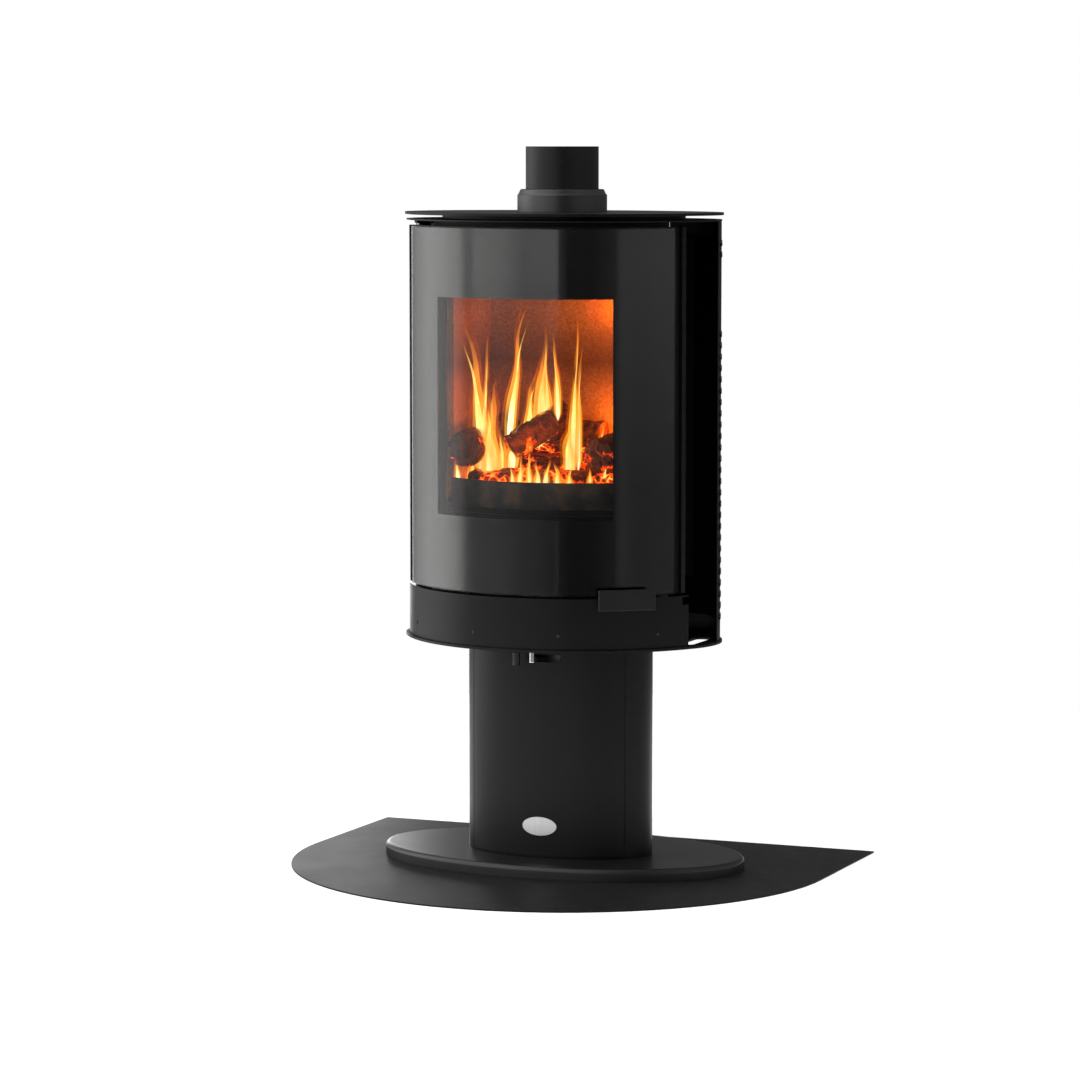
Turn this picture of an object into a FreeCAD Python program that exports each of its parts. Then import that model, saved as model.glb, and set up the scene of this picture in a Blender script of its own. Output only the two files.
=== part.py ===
"""Wood burning stove on an oval column, one node per physical piece.

Millimetres, +Z up. The origin is on the floor, on the axis of the flue. The door faces -Y.
All curved front pieces (skirt, door, glass, front plate) share one vertical arc axis, and the
oval plates and casing panels share one oval outline that starts from the same arc.
"""
import FreeCAD
import Part
import math
import os

os.makedirs("parts", exist_ok=True)
V = FreeCAD.Vector
UP = V(0, 0, 1)

# ---------------------------------------------------------------- driving dimensions
# Names with _up or _down count from the top of the bottom plate, _inset inwards from the front arc, and
# _back from the foremost point of the body.
# Floor plate: straight sides and back, half-round front.
floor_half_width = 525.0
floor_back_y = 332.0
floor_arc_y = 6.0
floor_t = 3.0

# Foot: oval casting, hollow underneath.
foot_a = 364.0
foot_b = 215.0
foot_y = 6.0
foot_h = 25.0
foot_round = 9.0
foot_top_t = 10.0
foot_rim = 22.0

# Column between foot and body.
column_a = 186.0
column_b = 105.0
column_y = -8.0
column_h = 410.0
column_wall = 3.0
cover_t = 2.0
seam_angle = 33.0
seam_gap = 1.5
flange_t = 6.0
flange_hole_a = 126.0
flange_hole_b = 70.0
bolt_ring_a = 155.0
bolt_ring_b = 86.0
bolt_r = 4.0
bolt_head_flats = 13.0
bolt_head_h = 5.3
hole_clearance = 0.2
cover_gap = 1.0
clip_w = 20.0
clip_d = 12.0
clip_h = 12.0
clip_x = 90.0
badge_w = 70.0
badge_h = 36.0
badge_t = 1.5
badge_z = 88.0

# Combustion air supply.
air_pipe_r = 50.0
air_pipe_wall = 2.0
air_pipe_y = 5.0
air_inlet_z = 140.0
air_spigot_out = 55.0
air_spigot_rim = 12.0
air_spigot_rim_t = 3.0
air_spigot_step = 1.0
pipe_clearance = 0.5

# Oval outline of the plates, and the arc shared by all the front pieces.
arc_y = 92.0
body_r = 332.0
plate_overhang = 6.0
corner_r = 152.0
side_angle = 62.0
rear_y = 210.0
bottom_t = 5.0
inlet_x0 = 252.0
inlet_x1 = 286.0
inlet_y0 = -52.0
inlet_y1 = 72.0
rear_vent_half = 130.0
rear_vent_y0 = 145.0
rear_vent_y1 = 172.0

# Skirt under the door.
skirt_h = 96.0
skirt_t = 2.0
skirt_angle = 60.0
skirt_lip = 14.0
skirt_lip_angle = 50.0
skirt_notch_angle = 2.5
skirt_notch_h = 15.0
skirt_screw_z = 27.0
skirt_screw_angles = (-48.0, -15.0, 15.0, 48.0)
screw_r = 3.0
screw_shank_r = 1.8
screw_head_h = 1.2
screw_head_lift = 0.12

# Fire box.
box_side_gap = 110.0
box_back_y = 125.0
box_wall = 5.0
box_floor_up = 113.0
box_top_up = 762.0
front_inset = 42.0
front_t = 6.0
front_angle = 57.0
weld_gap = 0.3
fire_opening_inset = 38.0
ash_opening_up0 = 129.0
ash_opening_up1 = 219.0
fire_opening_up0 = 247.0
fire_opening_up1 = 661.0
post_size = 30.0
post_wall = 4.0
post_inset = 32.0
post_back = 180.0
post_y1 = 110.0

# Lining, grate and baffles.
lining_t = 30.0
lining_joint = 0.5
shelf_up = 222.0
shelf_t = 5.0
back_split_up = 398.0
lining_top_up = 657.0
grate_inset = 113.0
grate_back = 171.0
grate_y1 = 49.0
grate_t = 20.0
grate_rest = 9.0
grate_slots = 9
grate_slot_w = 10.0
guard_inset = 55.0
guard_t = 5.0
guard_h = 51.0
guard_angle = 40.0
baffle_t = 25.0
baffle_back = 200.0
upper_baffle_up = 707.0
upper_baffle_t = 18.0
upper_baffle_back = 90.0
upper_baffle_y1 = 40.0
bracket_w = 12.0
bracket_t = 5.0
air_wash_t = 3.0
air_wash_up = 667.0
air_wash_angle = 42.0

# Ash pan.
pan_inset = 72.0
pan_back = 100.0
pan_y1 = 100.0
pan_h = 65.0
pan_wall = 1.5
runner_h = 10.0
runner_w = 12.0

# Combustion air controls under the fire box.
air_box_inset = 102.0
air_box_back = 80.0
air_box_y1 = 100.0
air_box_wall = 2.0
lever_rod_r = 4.0
damper_t = 3.0
damper_drop = 2.0
primary_x = -4.0
primary_back = 178.0
primary_travel_left = 10.0
primary_travel_right = 38.0
primary_lever_down = 35.0
primary_lever_h = 6.0
primary_lever_w = 8.0
primary_knob_r = 5.0
primary_knob_down = 39.0
primary_knob_h = 26.0
knob_back = 100.0
start_x = -36.0
start_travel = 35.0
start_knob_r = 7.0
start_knob_down = 45.0
start_knob_h = 27.0
slot_clearance = 1.0
slot_margin = 4.0

# Door.
door_gap = 6.0
door_top_up = 786.0
door_angle = 58.5
frame_inner_inset = 28.0
frame_skin_inset0 = 14.0
frame_skin_inset1 = 8.0
frame_flange = 5.0
window_inset = 44.0
window_up0 = 241.0
window_up1 = 655.0
seal_inset = 8.0
seal_up0 = 135.0
seal_up1 = 685.0
seal_w = 12.0
seal_gap = 0.3
glass_t = 4.5
glass_angle = 54.6
glass_edge = 1.0
glass_top_up = 784.0
gasket_w = 12.0
gasket_turn = 2.0
gasket_nip = 1.0
gasket_lap = 7.2
glass_margin_angle = 0.6
hinge_angle = -56.5
hinge_inset = 18.0
hinge_pin_r = 4.0
hinge_clearance = 0.06
hinge_lug_h = 25.0
hinge_bracket_a0 = -1.5
hinge_bracket_a1 = 3.0
hinge_bracket_rise = 1.0
hinge_lug_angle = 54.5
hinge_bracket_t = 6.0
hinge_bracket_inset = 10.0
hinge_pin_in = 20.0

# Handle and latch.
grip_stand_off = 18.0
grip_t = 7.0
grip_a0 = 27.6
grip_a1 = 45.5
grip_up0 = 75.0
grip_up1 = 115.0
grip_round = 3.0
lever_t = 2.5
lever_drop = 1.0
lever_a0 = 40.0
handle_pivot_angle = 44.5
handle_pivot_inset = 21.0
pivot_pin_r = 3.0
pivot_pin_in = 16.0
pivot_clearance = 0.06
latch_reach = 14.0
latch_w = 8.0
latch_clearance = 3.0
catch_size = 8.0

# Casing panels behind the open side gaps.
panel_inset = 4.0
panel_t = 1.5
panel_front_y = 15.0
panel_split_x = 151.0
panel_joint = 1.0
body_top_up = 795.0
vent_angles = (18.0, 40.0, 62.0, 84.0)
vent_w = 40.0
vent_h = 6.0
vent_pitch = 21.5
vent_rows = 34
vent_first_up = 41.0
vent_blank_up0 = 593.0
vent_blank_up1 = 709.0
shield_gap = 10.0
shield_t = 1.5
shield_inset = 27.0
shield_spacer_inset = 66.0
spacer_r = 8.0

# Top and flue.
cover_plate_t = 3.0
cover_plate_inset = 3.0
spacer_inset = 72.0
spacer_wall = 4.0
spacer_h = 8.0
top_plate_t = 5.0
flue_r = 69.5
flue_wall = 2.0
flue_top_up = 935.0
spigot_wall = 4.5
spigot_top_in = 6.0
spigot_flange_r = 85.0
spigot_flange_t = 4.0
collar_h = 43.0
collar_r_low = 85.5
collar_r_mid = 83.0
collar_r_top = 80.0
collar_step = 11.0
collar_bevel = 1.5

# ---------------------------------------------------------------- derived levels and centres
foot_z = floor_t
foot_top_z = foot_z + foot_h
bottom_z = foot_top_z + column_h
bottom_top_z = bottom_z + bottom_t
skirt_top_z = bottom_top_z + skirt_h
body_front_y = arc_y - body_r
box_floor_z = bottom_top_z + box_floor_up
box_top_z = bottom_top_z + box_top_up
ash_opening_z0 = bottom_top_z + ash_opening_up0
ash_opening_z1 = bottom_top_z + ash_opening_up1
fire_opening_z0 = bottom_top_z + fire_opening_up0
fire_opening_z1 = bottom_top_z + fire_opening_up1
shelf_z = bottom_top_z + shelf_up
back_split_z = bottom_top_z + back_split_up
lining_top_z = bottom_top_z + lining_top_up
upper_baffle_z = bottom_top_z + upper_baffle_up
air_wash_z = bottom_top_z + air_wash_up
door_top_z = bottom_top_z + door_top_up
window_z0 = bottom_top_z + window_up0
window_z1 = bottom_top_z + window_up1
seal_z0 = bottom_top_z + seal_up0
seal_z1 = bottom_top_z + seal_up1
glass_top_z = bottom_top_z + glass_top_up
grip_z0 = bottom_top_z + grip_up0
grip_z1 = bottom_top_z + grip_up1
body_top_z = bottom_top_z + body_top_up
vent_first_z = bottom_top_z + vent_first_up
vent_blank_z0 = bottom_top_z + vent_blank_up0
vent_blank_z1 = bottom_top_z + vent_blank_up1
flue_top_z = bottom_top_z + flue_top_up
primary_lever_z = bottom_top_z - primary_lever_down
primary_knob_z0 = bottom_top_z - primary_knob_down
start_knob_z0 = bottom_top_z - start_knob_down
box_half_width = body_r - box_side_gap
post_x = box_half_width - post_inset
fire_opening_half = box_half_width - fire_opening_inset
window_half = box_half_width - window_inset
seal_half = box_half_width - seal_inset
pan_half = box_half_width - pan_inset
shield_half = box_half_width - shield_inset
spacer_x = box_half_width - shield_spacer_inset
grate_half = box_half_width - grate_inset
air_box_half = box_half_width - air_box_inset
front_r_out = body_r - front_inset
guard_r = body_r - guard_inset
frame_r_in = body_r - frame_inner_inset
frame_skin_r0 = body_r - frame_skin_inset0
frame_skin_r1 = body_r - frame_skin_inset1
hinge_r = body_r - hinge_inset
hinge_bracket_r = body_r - hinge_bracket_inset
handle_pivot_r = body_r - handle_pivot_inset
grip_r = body_r + grip_stand_off
upper_baffle_y0 = body_front_y + upper_baffle_back
baffle_y0 = body_front_y + baffle_back
pan_y0 = body_front_y + pan_back
air_box_y0 = body_front_y + air_box_back
post_y0 = body_front_y + post_back
knob_y = body_front_y + knob_back
grate_y0 = body_front_y + grate_back
primary_y = body_front_y + primary_back
door_z = skirt_top_z + door_gap
plate_r = body_r + plate_overhang
front_r_in = front_r_out - front_t
shell_r = front_r_in - weld_gap
glass_r_in = body_r - glass_t
glass_z = door_z - glass_edge
top_cover_z = body_top_z
spacer_z = top_cover_z + cover_plate_t
top_plate_z = spacer_z + spacer_h
collar_z = top_plate_z + top_plate_t
flue_hole_r = flue_r + pipe_clearance
lining_floor_z = shelf_z + shelf_t
fire_floor_z = lining_floor_z + lining_t
seam_y = column_y - column_b * math.sin(math.radians(seam_angle))
lining_x1 = box_half_width - box_wall - lining_joint
lining_back_y = box_back_y - box_wall - lining_joint
fire_half = lining_x1 - lining_t
fire_back_y = lining_back_y - lining_t

# Firewood: radius, start point and end point of each log; z counts from the fire floor.
logs = (
    (42.0, V(21.5 - fire_half, fire_back_y - 51.5, 43), V(fire_half - 21.5, fire_back_y - 51.5, 43)),
    (35.0, V(36.5 - fire_half, body_front_y + 145, 36), V(fire_half - 41.5, body_front_y + 145, 36)),
    (36.0, V(39.5 - fire_half, body_front_y + 108, 106), V(39.5 - fire_half, fire_back_y - 9.5, 128)),
    (30.0, V(fire_half - 61.5, body_front_y + 110, 102), V(fire_half - 73.5, fire_back_y - 11.5, 117)),
    (34.0, V(86.5 - fire_half, fire_back_y - 37.5, 122), V(fire_half - 114.5, fire_back_y - 37.5, 122)),
    (27.0, V(101.5 - fire_half, body_front_y + 180, 102), V(fire_half - 181.5, fire_back_y - 71.5, 174)),
)


# ---------------------------------------------------------------- shape helpers
def save(name, *solids):
    """Write one node; several solids become a group."""
    shape = solids[0] if len(solids) == 1 else Part.makeCompound(list(solids))
    shape.exportStep("parts/" + name + ".step")


def block(x0, x1, y0, y1, z0, z1):
    """A box between two corners."""
    return Part.makeBox(x1 - x0, y1 - y0, z1 - z0, V(x0, y0, z0))


def rod(radius, start, end):
    """A round bar between two points."""
    return Part.makeCylinder(radius, (end - start).Length, start, end - start)


def tube(r_out, r_in, x, y, z0, z1):
    """An upright pipe."""
    outer = Part.makeCylinder(r_out, z1 - z0, V(x, y, z0))
    return outer.cut(Part.makeCylinder(r_in, z1 - z0, V(x, y, z0)))


def prism(wire, height):
    """An upright prism on a flat closed wire."""
    return Part.Face(wire).extrude(V(0, 0, height))


def ellipse_prism(a, b, y, z0, z1):
    """An upright oval cylinder with its long axis on X."""
    edge = Part.Ellipse(V(0, y, z0), a, b).toShape()
    return prism(Part.Wire([edge]), z1 - z0)


def on_arc(radius, angle, z=0.0):
    """A point on the front arc; angle 0 is the middle, positive towards +X."""
    a = math.radians(angle)
    return V(radius * math.sin(a), arc_y - radius * math.cos(a), z)


def arc_band(r_in, r_out, a0, a1, z0, z1):
    """A curved wall that follows the front arc."""
    mid = (a0 + a1) / 2
    outer = Part.Arc(on_arc(r_out, a0, z0), on_arc(r_out, mid, z0), on_arc(r_out, a1, z0))
    inner = Part.Arc(on_arc(r_in, a1, z0), on_arc(r_in, mid, z0), on_arc(r_in, a0, z0))
    right = Part.LineSegment(on_arc(r_out, a1, z0), on_arc(r_in, a1, z0))
    left = Part.LineSegment(on_arc(r_in, a0, z0), on_arc(r_out, a0, z0))
    edges = [outer.toShape(), right.toShape(), inner.toShape(), left.toShape()]
    return prism(Part.Wire(edges), z1 - z0)


def front_cylinder(radius, z0, z1):
    """Everything within a radius of the front arc's axis."""
    return Part.makeCylinder(radius, z1 - z0, V(0, arc_y, z0))


def front_window(half, z0, z1):
    """A cutter that runs through the front from -Y."""
    return block(-half, half, arc_y - plate_r - plate_overhang, 0.0, z0, z1)


def corner_centre():
    """Centre of the right-hand corner arc of the oval outline."""
    return on_arc(plate_r - corner_r, side_angle)


def rear_centre_y():
    """Centre of the rear arc, tangent to both corner arcs."""
    c = corner_centre()
    k = rear_y - corner_r
    return (k * k - c.x * c.x - c.y * c.y) / (2 * (k - c.y))


def oval(inset, z0, z1):
    """An upright prism on the oval outline, moved inwards by inset."""
    c = corner_centre()
    rear_c = V(0, rear_centre_y(), 0)
    to_corner = (c - rear_c).normalize()
    r_front = plate_r - inset
    r_corner = corner_r - inset
    r_rear = rear_y - rear_c.y - inset
    front_right = on_arc(r_front, side_angle)
    rear_right = rear_c + to_corner * r_rear
    out_front = (front_right - c).normalize()
    bulge = c + (out_front + to_corner).normalize() * r_corner
    mirror = [V(-p.x, p.y, 0) for p in (front_right, rear_right, bulge)]
    arcs = [
        Part.Arc(mirror[0], on_arc(r_front, 0.0), front_right),
        Part.Arc(front_right, bulge, rear_right),
        Part.Arc(rear_right, rear_c + V(0, r_rear, 0), mirror[1]),
        Part.Arc(mirror[1], mirror[2], mirror[0]),
    ]
    shape = prism(Part.Wire([a.toShape() for a in arcs]), z1 - z0)
    shape.translate(V(0, 0, z0))
    return shape


def mirrored(shape):
    """The same piece on the other side of the YZ plane."""
    return shape.mirror(V(0, 0, 0), V(1, 0, 0))


def cut_all(shape, cutters):
    """Cut several tools at once."""
    return shape.cut(Part.makeCompound(cutters))


def joined(*solids):
    """Fuse solids into one clean solid."""
    result = solids[0]
    for solid in solids[1:]:
        result = result.fuse(solid)
    return result.removeSplitter()


def hexagon(flats, height, base, down=False):
    """A hexagon bolt head or nut standing on base, or hanging below it."""
    radius = flats / math.sqrt(3)
    corners = [V(radius * math.cos(math.radians(a)), radius * math.sin(math.radians(a)), 0)
               for a in range(0, 361, 60)]
    head = prism(Part.makePolygon(corners), height)
    head.translate(base - V(0, 0, height) if down else base)
    return head


def bolt_places(angles):
    """Places on the oval bolt ring of the column flanges."""
    return [V(bolt_ring_a * math.cos(math.radians(a)),
              column_y + bolt_ring_b * math.sin(math.radians(a)), 0) for a in angles]


foot_bolts = bolt_places((30, 90, 150, 210, 270, 330))
top_bolts = bolt_places((30, 150, 210, 330))


# ---------------------------------------------------------------- floor plate and foot
def make_floor_plate():
    w = floor_half_width
    corner = [V(-w, floor_back_y, 0), V(-w, floor_arc_y, 0), V(w, floor_arc_y, 0), V(w, floor_back_y, 0)]
    edges = [
        Part.LineSegment(corner[0], corner[1]).toShape(),
        Part.Arc(corner[1], V(0, floor_arc_y - w, 0), corner[2]).toShape(),
        Part.LineSegment(corner[2], corner[3]).toShape(),
        Part.LineSegment(corner[3], corner[0]).toShape(),
    ]
    save("floor_plate", prism(Part.Wire(edges), floor_t))


def make_foot():
    foot = ellipse_prism(foot_a, foot_b, foot_y, foot_z, foot_top_z)
    rim = [e for e in foot.Edges if e.BoundBox.ZMin > foot_top_z - 0.01]
    foot = foot.makeFillet(min(foot_round, foot_h - 1.0), rim)
    hollow = ellipse_prism(foot_a - foot_rim, foot_b - foot_rim, foot_y, foot_z, foot_top_z - foot_top_t)
    holes = [Part.makeCylinder(bolt_r + hole_clearance, foot_h, p + V(0, 0, foot_z)) for p in foot_bolts]
    save("base_plate", cut_all(foot, [hollow] + holes))
    bolts = []
    head_z = foot_top_z + flange_t
    for p in foot_bolts:
        shank = rod(bolt_r, p + V(0, 0, foot_top_z - foot_top_t), p + V(0, 0, head_z))
        bolts.append(joined(shank, hexagon(bolt_head_flats, bolt_head_h, p + V(0, 0, head_z))))
    save("foot_bolts", *bolts)


# ---------------------------------------------------------------- column
def column_shell(wall, z0, z1):
    outer = ellipse_prism(column_a, column_b, column_y, z0, z1)
    return outer.cut(ellipse_prism(column_a - wall, column_b - wall, column_y, z0, z1))


def column_flange(z0):
    gap = cover_t + slot_clearance / 2
    plate = ellipse_prism(column_a - gap, column_b - gap, column_y, z0, z0 + flange_t)
    return plate.cut(ellipse_prism(flange_hole_a, flange_hole_b, column_y, z0, z0 + flange_t))


def air_hole(radius):
    """A cutter along +Y for the combustion air spigot at the rear of the column."""
    return Part.makeCylinder(radius, column_b * 2, V(0, column_y, air_inlet_z), V(0, 1, 0))


def make_column():
    low, high = foot_top_z, bottom_z
    back = block(-column_a, column_a, seam_y + seam_gap, column_y + column_b, low, high)
    shell = column_shell(column_wall, low, high).common(back)
    column = joined(shell, column_flange(low), column_flange(high - flange_t))
    cutters = [air_hole(air_pipe_r + pipe_clearance)]
    for places, z in ((foot_bolts, low), (top_bolts, high - flange_t)):
        cutters += [Part.makeCylinder(bolt_r + hole_clearance, flange_t, p + V(0, 0, z)) for p in places]
    save("pedestal_column", cut_all(column, cutters))

    front = block(-column_a, column_a, column_y - column_b, seam_y, low, high)
    cover = column_shell(cover_t, low + cover_gap, high - cover_gap).common(front)
    slot_left = primary_x - primary_travel_left - primary_lever_w / 2 - slot_margin
    slot_right = primary_x + primary_travel_right + primary_lever_w / 2 + slot_margin
    slot_z0 = primary_lever_z - slot_margin
    slot_z1 = primary_lever_z + primary_lever_h + slot_margin
    slot = block(slot_left, slot_right, column_y - column_b, column_y, slot_z0, slot_z1)
    save("pedestal_front_cover", cover.cut(slot))

    clips = []
    inner_b = column_b - cover_t
    edge_x = clip_x + clip_w / 2
    edge_y = column_y - inner_b * math.sqrt(1 - (edge_x / (column_a - cover_t)) ** 2)
    clip_y = edge_y + cover_gap
    for z in (low + flange_t, high - flange_t - clip_h):
        clip = block(clip_x - clip_w / 2, edge_x, clip_y, clip_y + clip_d, z, z + clip_h)
        clips += [clip, mirrored(clip)]
    save("cover_clips", *clips)

    plate = ellipse_prism(column_a + badge_t, column_b + badge_t, column_y, low, high)
    plate = plate.cut(ellipse_prism(column_a, column_b, column_y, low, high))
    outline = Part.Ellipse(V(0, 0, 0), badge_w / 2, badge_h / 2).toShape()
    stamp = Part.Face(Part.Wire([outline])).extrude(V(0, 0, column_b))
    stamp.rotate(V(0, 0, 0), V(1, 0, 0), 90)
    stamp.translate(V(0, column_y - badge_t - column_b / 2, badge_z))
    save("badge_plate", plate.common(stamp))

    bolts = []
    nuts = []
    for p in top_bolts:
        head = hexagon(bolt_head_flats, bolt_head_h, p + V(0, 0, high - flange_t), down=True)
        tip = p + V(0, 0, bottom_top_z + bolt_head_h)
        bolts.append(joined(rod(bolt_r, p + V(0, 0, high - flange_t), tip), head))
        nut = hexagon(bolt_head_flats, bolt_head_h, p + V(0, 0, bottom_top_z))
        nuts.append(nut.cut(Part.makeCylinder(bolt_r, bolt_head_h, p + V(0, 0, bottom_top_z))))
    save("column_bolts", *bolts, *nuts)


def make_air_supply():
    bore = air_pipe_r - air_pipe_wall
    leg_end = column_y + column_b - column_wall - pipe_clearance - air_spigot_rim
    foot_end = air_inlet_z - air_pipe_r - air_pipe_wall
    upright = Part.makeCylinder(air_pipe_r, bottom_top_z - foot_end, V(0, air_pipe_y, foot_end))
    leg = rod(air_pipe_r, V(0, air_pipe_y, air_inlet_z), V(0, leg_end, air_inlet_z))
    inner_floor = foot_end + air_pipe_wall
    inner_up = Part.makeCylinder(bore, bottom_top_z - inner_floor, V(0, air_pipe_y, inner_floor))
    inner_leg = rod(bore, V(0, air_pipe_y, air_inlet_z), V(0, leg_end, air_inlet_z))
    save("fresh_air_pipe", joined(upright, leg).cut(inner_up.fuse(inner_leg)))

    end_y = column_y + column_b + air_spigot_out
    seat_y = column_y + column_b + air_spigot_rim_t
    tail = rod(air_pipe_r - air_spigot_step, V(0, leg_end, air_inlet_z), V(0, seat_y, air_inlet_z))
    spigot = rod(air_pipe_r, V(0, seat_y, air_inlet_z), V(0, end_y, air_inlet_z))
    rim_a = column_a + air_spigot_rim_t
    rim_b = column_b + air_spigot_rim_t
    rim = ellipse_prism(rim_a, rim_b, column_y, foot_top_z, bottom_z)
    rim = rim.cut(ellipse_prism(column_a, column_b, column_y, foot_top_z, bottom_z))
    rim = rim.common(air_hole(air_pipe_r + air_spigot_rim))
    hollow = rod(bore, V(0, leg_end, air_inlet_z), V(0, end_y, air_inlet_z))
    save("fresh_air_spigot", joined(tail, spigot, rim).cut(hollow))


# ---------------------------------------------------------------- body plates and casing
def vent_slots(z0, z1):
    """Cutters for the two side channels, shared by the bottom plate and the top cover."""
    slot = block(inlet_x0, inlet_x1, inlet_y0, inlet_y1, z0, z1)
    upright = [e for e in slot.Edges if e.BoundBox.ZLength > e.BoundBox.XLength + e.BoundBox.YLength]
    slot = slot.makeFillet((inlet_x1 - inlet_x0) * 0.3, upright)
    rear = block(-rear_vent_half, rear_vent_half, rear_vent_y0, rear_vent_y1, z0, z1)
    return [slot, mirrored(slot), rear]


def make_bottom_plate():
    z0, z1 = bottom_z, bottom_top_z
    r = lever_rod_r + slot_clearance
    cutters = vent_slots(z0, z1)
    cutters.append(Part.makeCylinder(air_pipe_r + pipe_clearance, bottom_t, V(0, air_pipe_y, z0)))
    cutters += [Part.makeCylinder(bolt_r + hole_clearance, bottom_t, p + V(0, 0, z0)) for p in top_bolts]
    cutters.append(block(primary_x - primary_travel_left - r, primary_x + primary_travel_right + r,
                         primary_y - r, primary_y + r, z0, z1))
    cutters.append(block(start_x - start_travel - r, start_x + r, knob_y - r, knob_y + r, z0, z1))
    save("bottom_plate", cut_all(oval(0.0, z0, z1), cutters))


def make_skirt():
    r0 = body_r - skirt_t
    wall = arc_band(r0, body_r, -skirt_angle, skirt_angle, bottom_top_z, skirt_top_z)
    lip = arc_band(r0 - skirt_lip, body_r, -skirt_lip_angle, skirt_lip_angle,
                   skirt_top_z - skirt_t, skirt_top_z)
    notch_z = skirt_top_z - skirt_t - skirt_notch_h
    notch = arc_band(r0 - skirt_t, body_r + skirt_t, skirt_angle - skirt_notch_angle, skirt_angle + 1.0,
                     notch_z, notch_z + skirt_notch_h)
    cutters = [notch]
    screws = []
    z = bottom_top_z + skirt_screw_z
    for angle in skirt_screw_angles:
        inner = on_arc(r0 - skirt_t * 3, angle, z)
        face = on_arc(body_r, angle, z)
        seat = on_arc(body_r + screw_head_lift, angle, z)
        crown = on_arc(body_r + screw_head_h, angle, z)
        cutters.append(rod(screw_shank_r + hole_clearance, on_arc(r0 - skirt_t, angle, z), crown))
        screws.append(joined(rod(screw_shank_r, inner, face), rod(screw_r, seat, crown)))
    save("front_skirt", cut_all(joined(wall, lip), cutters))
    save("skirt_screws", *screws)


def make_casing():
    z0, z1 = bottom_top_z, body_top_z
    band = oval(panel_inset, z0, z1).cut(oval(panel_inset + panel_t, z0, z1))
    side = band.common(block(panel_split_x + panel_joint, plate_r, panel_front_y, rear_y, z0, z1))
    c = corner_centre()
    r_mid = corner_r - panel_inset - panel_t / 2
    cutters = []
    for angle in vent_angles:
        for row in range(vent_rows):
            z = vent_first_z + row * vent_pitch
            if vent_blank_z0 < z < vent_blank_z1:
                continue
            vent = block(r_mid - vent_h, r_mid + vent_h, -vent_w / 2, vent_w / 2, z, z + vent_h)
            vent.rotate(V(0, 0, 0), UP, angle)
            vent.translate(V(c.x, c.y, 0))
            cutters.append(vent)
    side = cut_all(side, cutters)
    save("side_panel_right", side)
    save("side_panel_left", mirrored(side))
    save("rear_panel", band.common(block(-panel_split_x, panel_split_x, 0, rear_y, z0, z1)))


def make_heat_shield():
    y0 = box_back_y + shield_gap
    save("heat_shield", block(-shield_half, shield_half, y0, y0 + shield_t, box_floor_z, box_top_z))
    spacers = []
    for x in (-spacer_x, spacer_x):
        for z in (box_floor_z + lining_t * 2, box_top_z - lining_t * 2):
            spacers.append(rod(spacer_r, V(x, box_back_y, z), V(x, y0, z)))
    save("shield_spacers", *spacers)


def make_top():
    z0 = top_cover_z
    flue = Part.makeCylinder(flue_hole_r, 1000.0, V(0, 0, z0))
    cover = oval(cover_plate_inset, z0, z0 + cover_plate_t)
    save("top_cover", cut_all(cover, vent_slots(z0, z0 + cover_plate_t) + [flue]))
    ring = oval(spacer_inset, spacer_z, top_plate_z)
    ring = ring.cut(oval(spacer_inset + spacer_wall, spacer_z, top_plate_z))
    save("top_spacer", ring)
    save("top_plate", oval(0.0, top_plate_z, collar_z).cut(flue))


# ---------------------------------------------------------------- flue
def make_flue():
    spigot_top = collar_z + spigot_top_in
    spigot = tube(flue_r, flue_r - spigot_wall, 0, 0, box_top_z, spigot_top)
    rim = tube(spigot_flange_r, flue_r - spigot_wall, 0, 0, box_top_z, box_top_z + spigot_flange_t)
    save("flue_spigot", joined(spigot, rim))

    top = collar_z + collar_h
    outline = [
        V(flue_hole_r, 0, collar_z),
        V(collar_r_low, 0, collar_z),
        V(collar_r_low, 0, top - collar_step),
        V(collar_r_mid, 0, top - collar_step + (collar_r_low - collar_r_mid)),
        V(collar_r_top, 0, top - collar_bevel),
        V(collar_r_top - collar_bevel, 0, top),
        V(flue_hole_r, 0, top),
        V(flue_hole_r, 0, collar_z),
    ]
    save("flue_collar", Part.Face(Part.makePolygon(outline)).revolve(V(0, 0, 0), UP, 360))
    save("flue_pipe", tube(flue_r, flue_r - flue_wall, 0, 0, spigot_top, flue_top_z))


# ---------------------------------------------------------------- fire box
def make_fire_box():
    z0, z1 = box_floor_z, box_top_z
    w = box_half_width
    plan = front_cylinder(shell_r, z0, z1).fuse(block(-w, w, 0, box_back_y, z0, z1))
    shell = block(-w, w, arc_y - shell_r, box_back_y, z0, z1).common(plan)
    inside = block(-w + box_wall, w - box_wall, arc_y - plate_r, box_back_y - box_wall,
                   z0 + box_wall, z1 - box_wall)
    flue = Part.makeCylinder(flue_r - spigot_wall, box_wall * 2, V(0, 0, z1 - box_wall * 2))
    air = block(primary_x - grate_rest * 2, primary_x + grate_rest * 2,
                primary_y - grate_rest, primary_y + grate_rest, z0, z0 + box_wall)
    save("firebox_shell", cut_all(shell, [inside, flue, air]).removeSplitter())

    front = arc_band(front_r_in, front_r_out, -front_angle, front_angle, bottom_top_z, body_top_z)
    openings = [front_window(fire_opening_half, ash_opening_z0, ash_opening_z1),
                front_window(fire_opening_half, fire_opening_z0, fire_opening_z1)]
    save("firebox_front", cut_all(front, openings))

    posts = []
    for y in (post_y0, post_y1):
        x1 = post_x + post_size / 2
        x0 = x1 - post_size
        post = block(x0, x1, y - post_size / 2, y + post_size / 2, bottom_top_z, z0)
        post = post.cut(block(x0, x1 - post_wall, y - post_size / 2, y + post_size / 2 - post_wall,
                              bottom_top_z, z0))
        posts += [post, mirrored(post)]
    save("body_supports", *posts)


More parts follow.
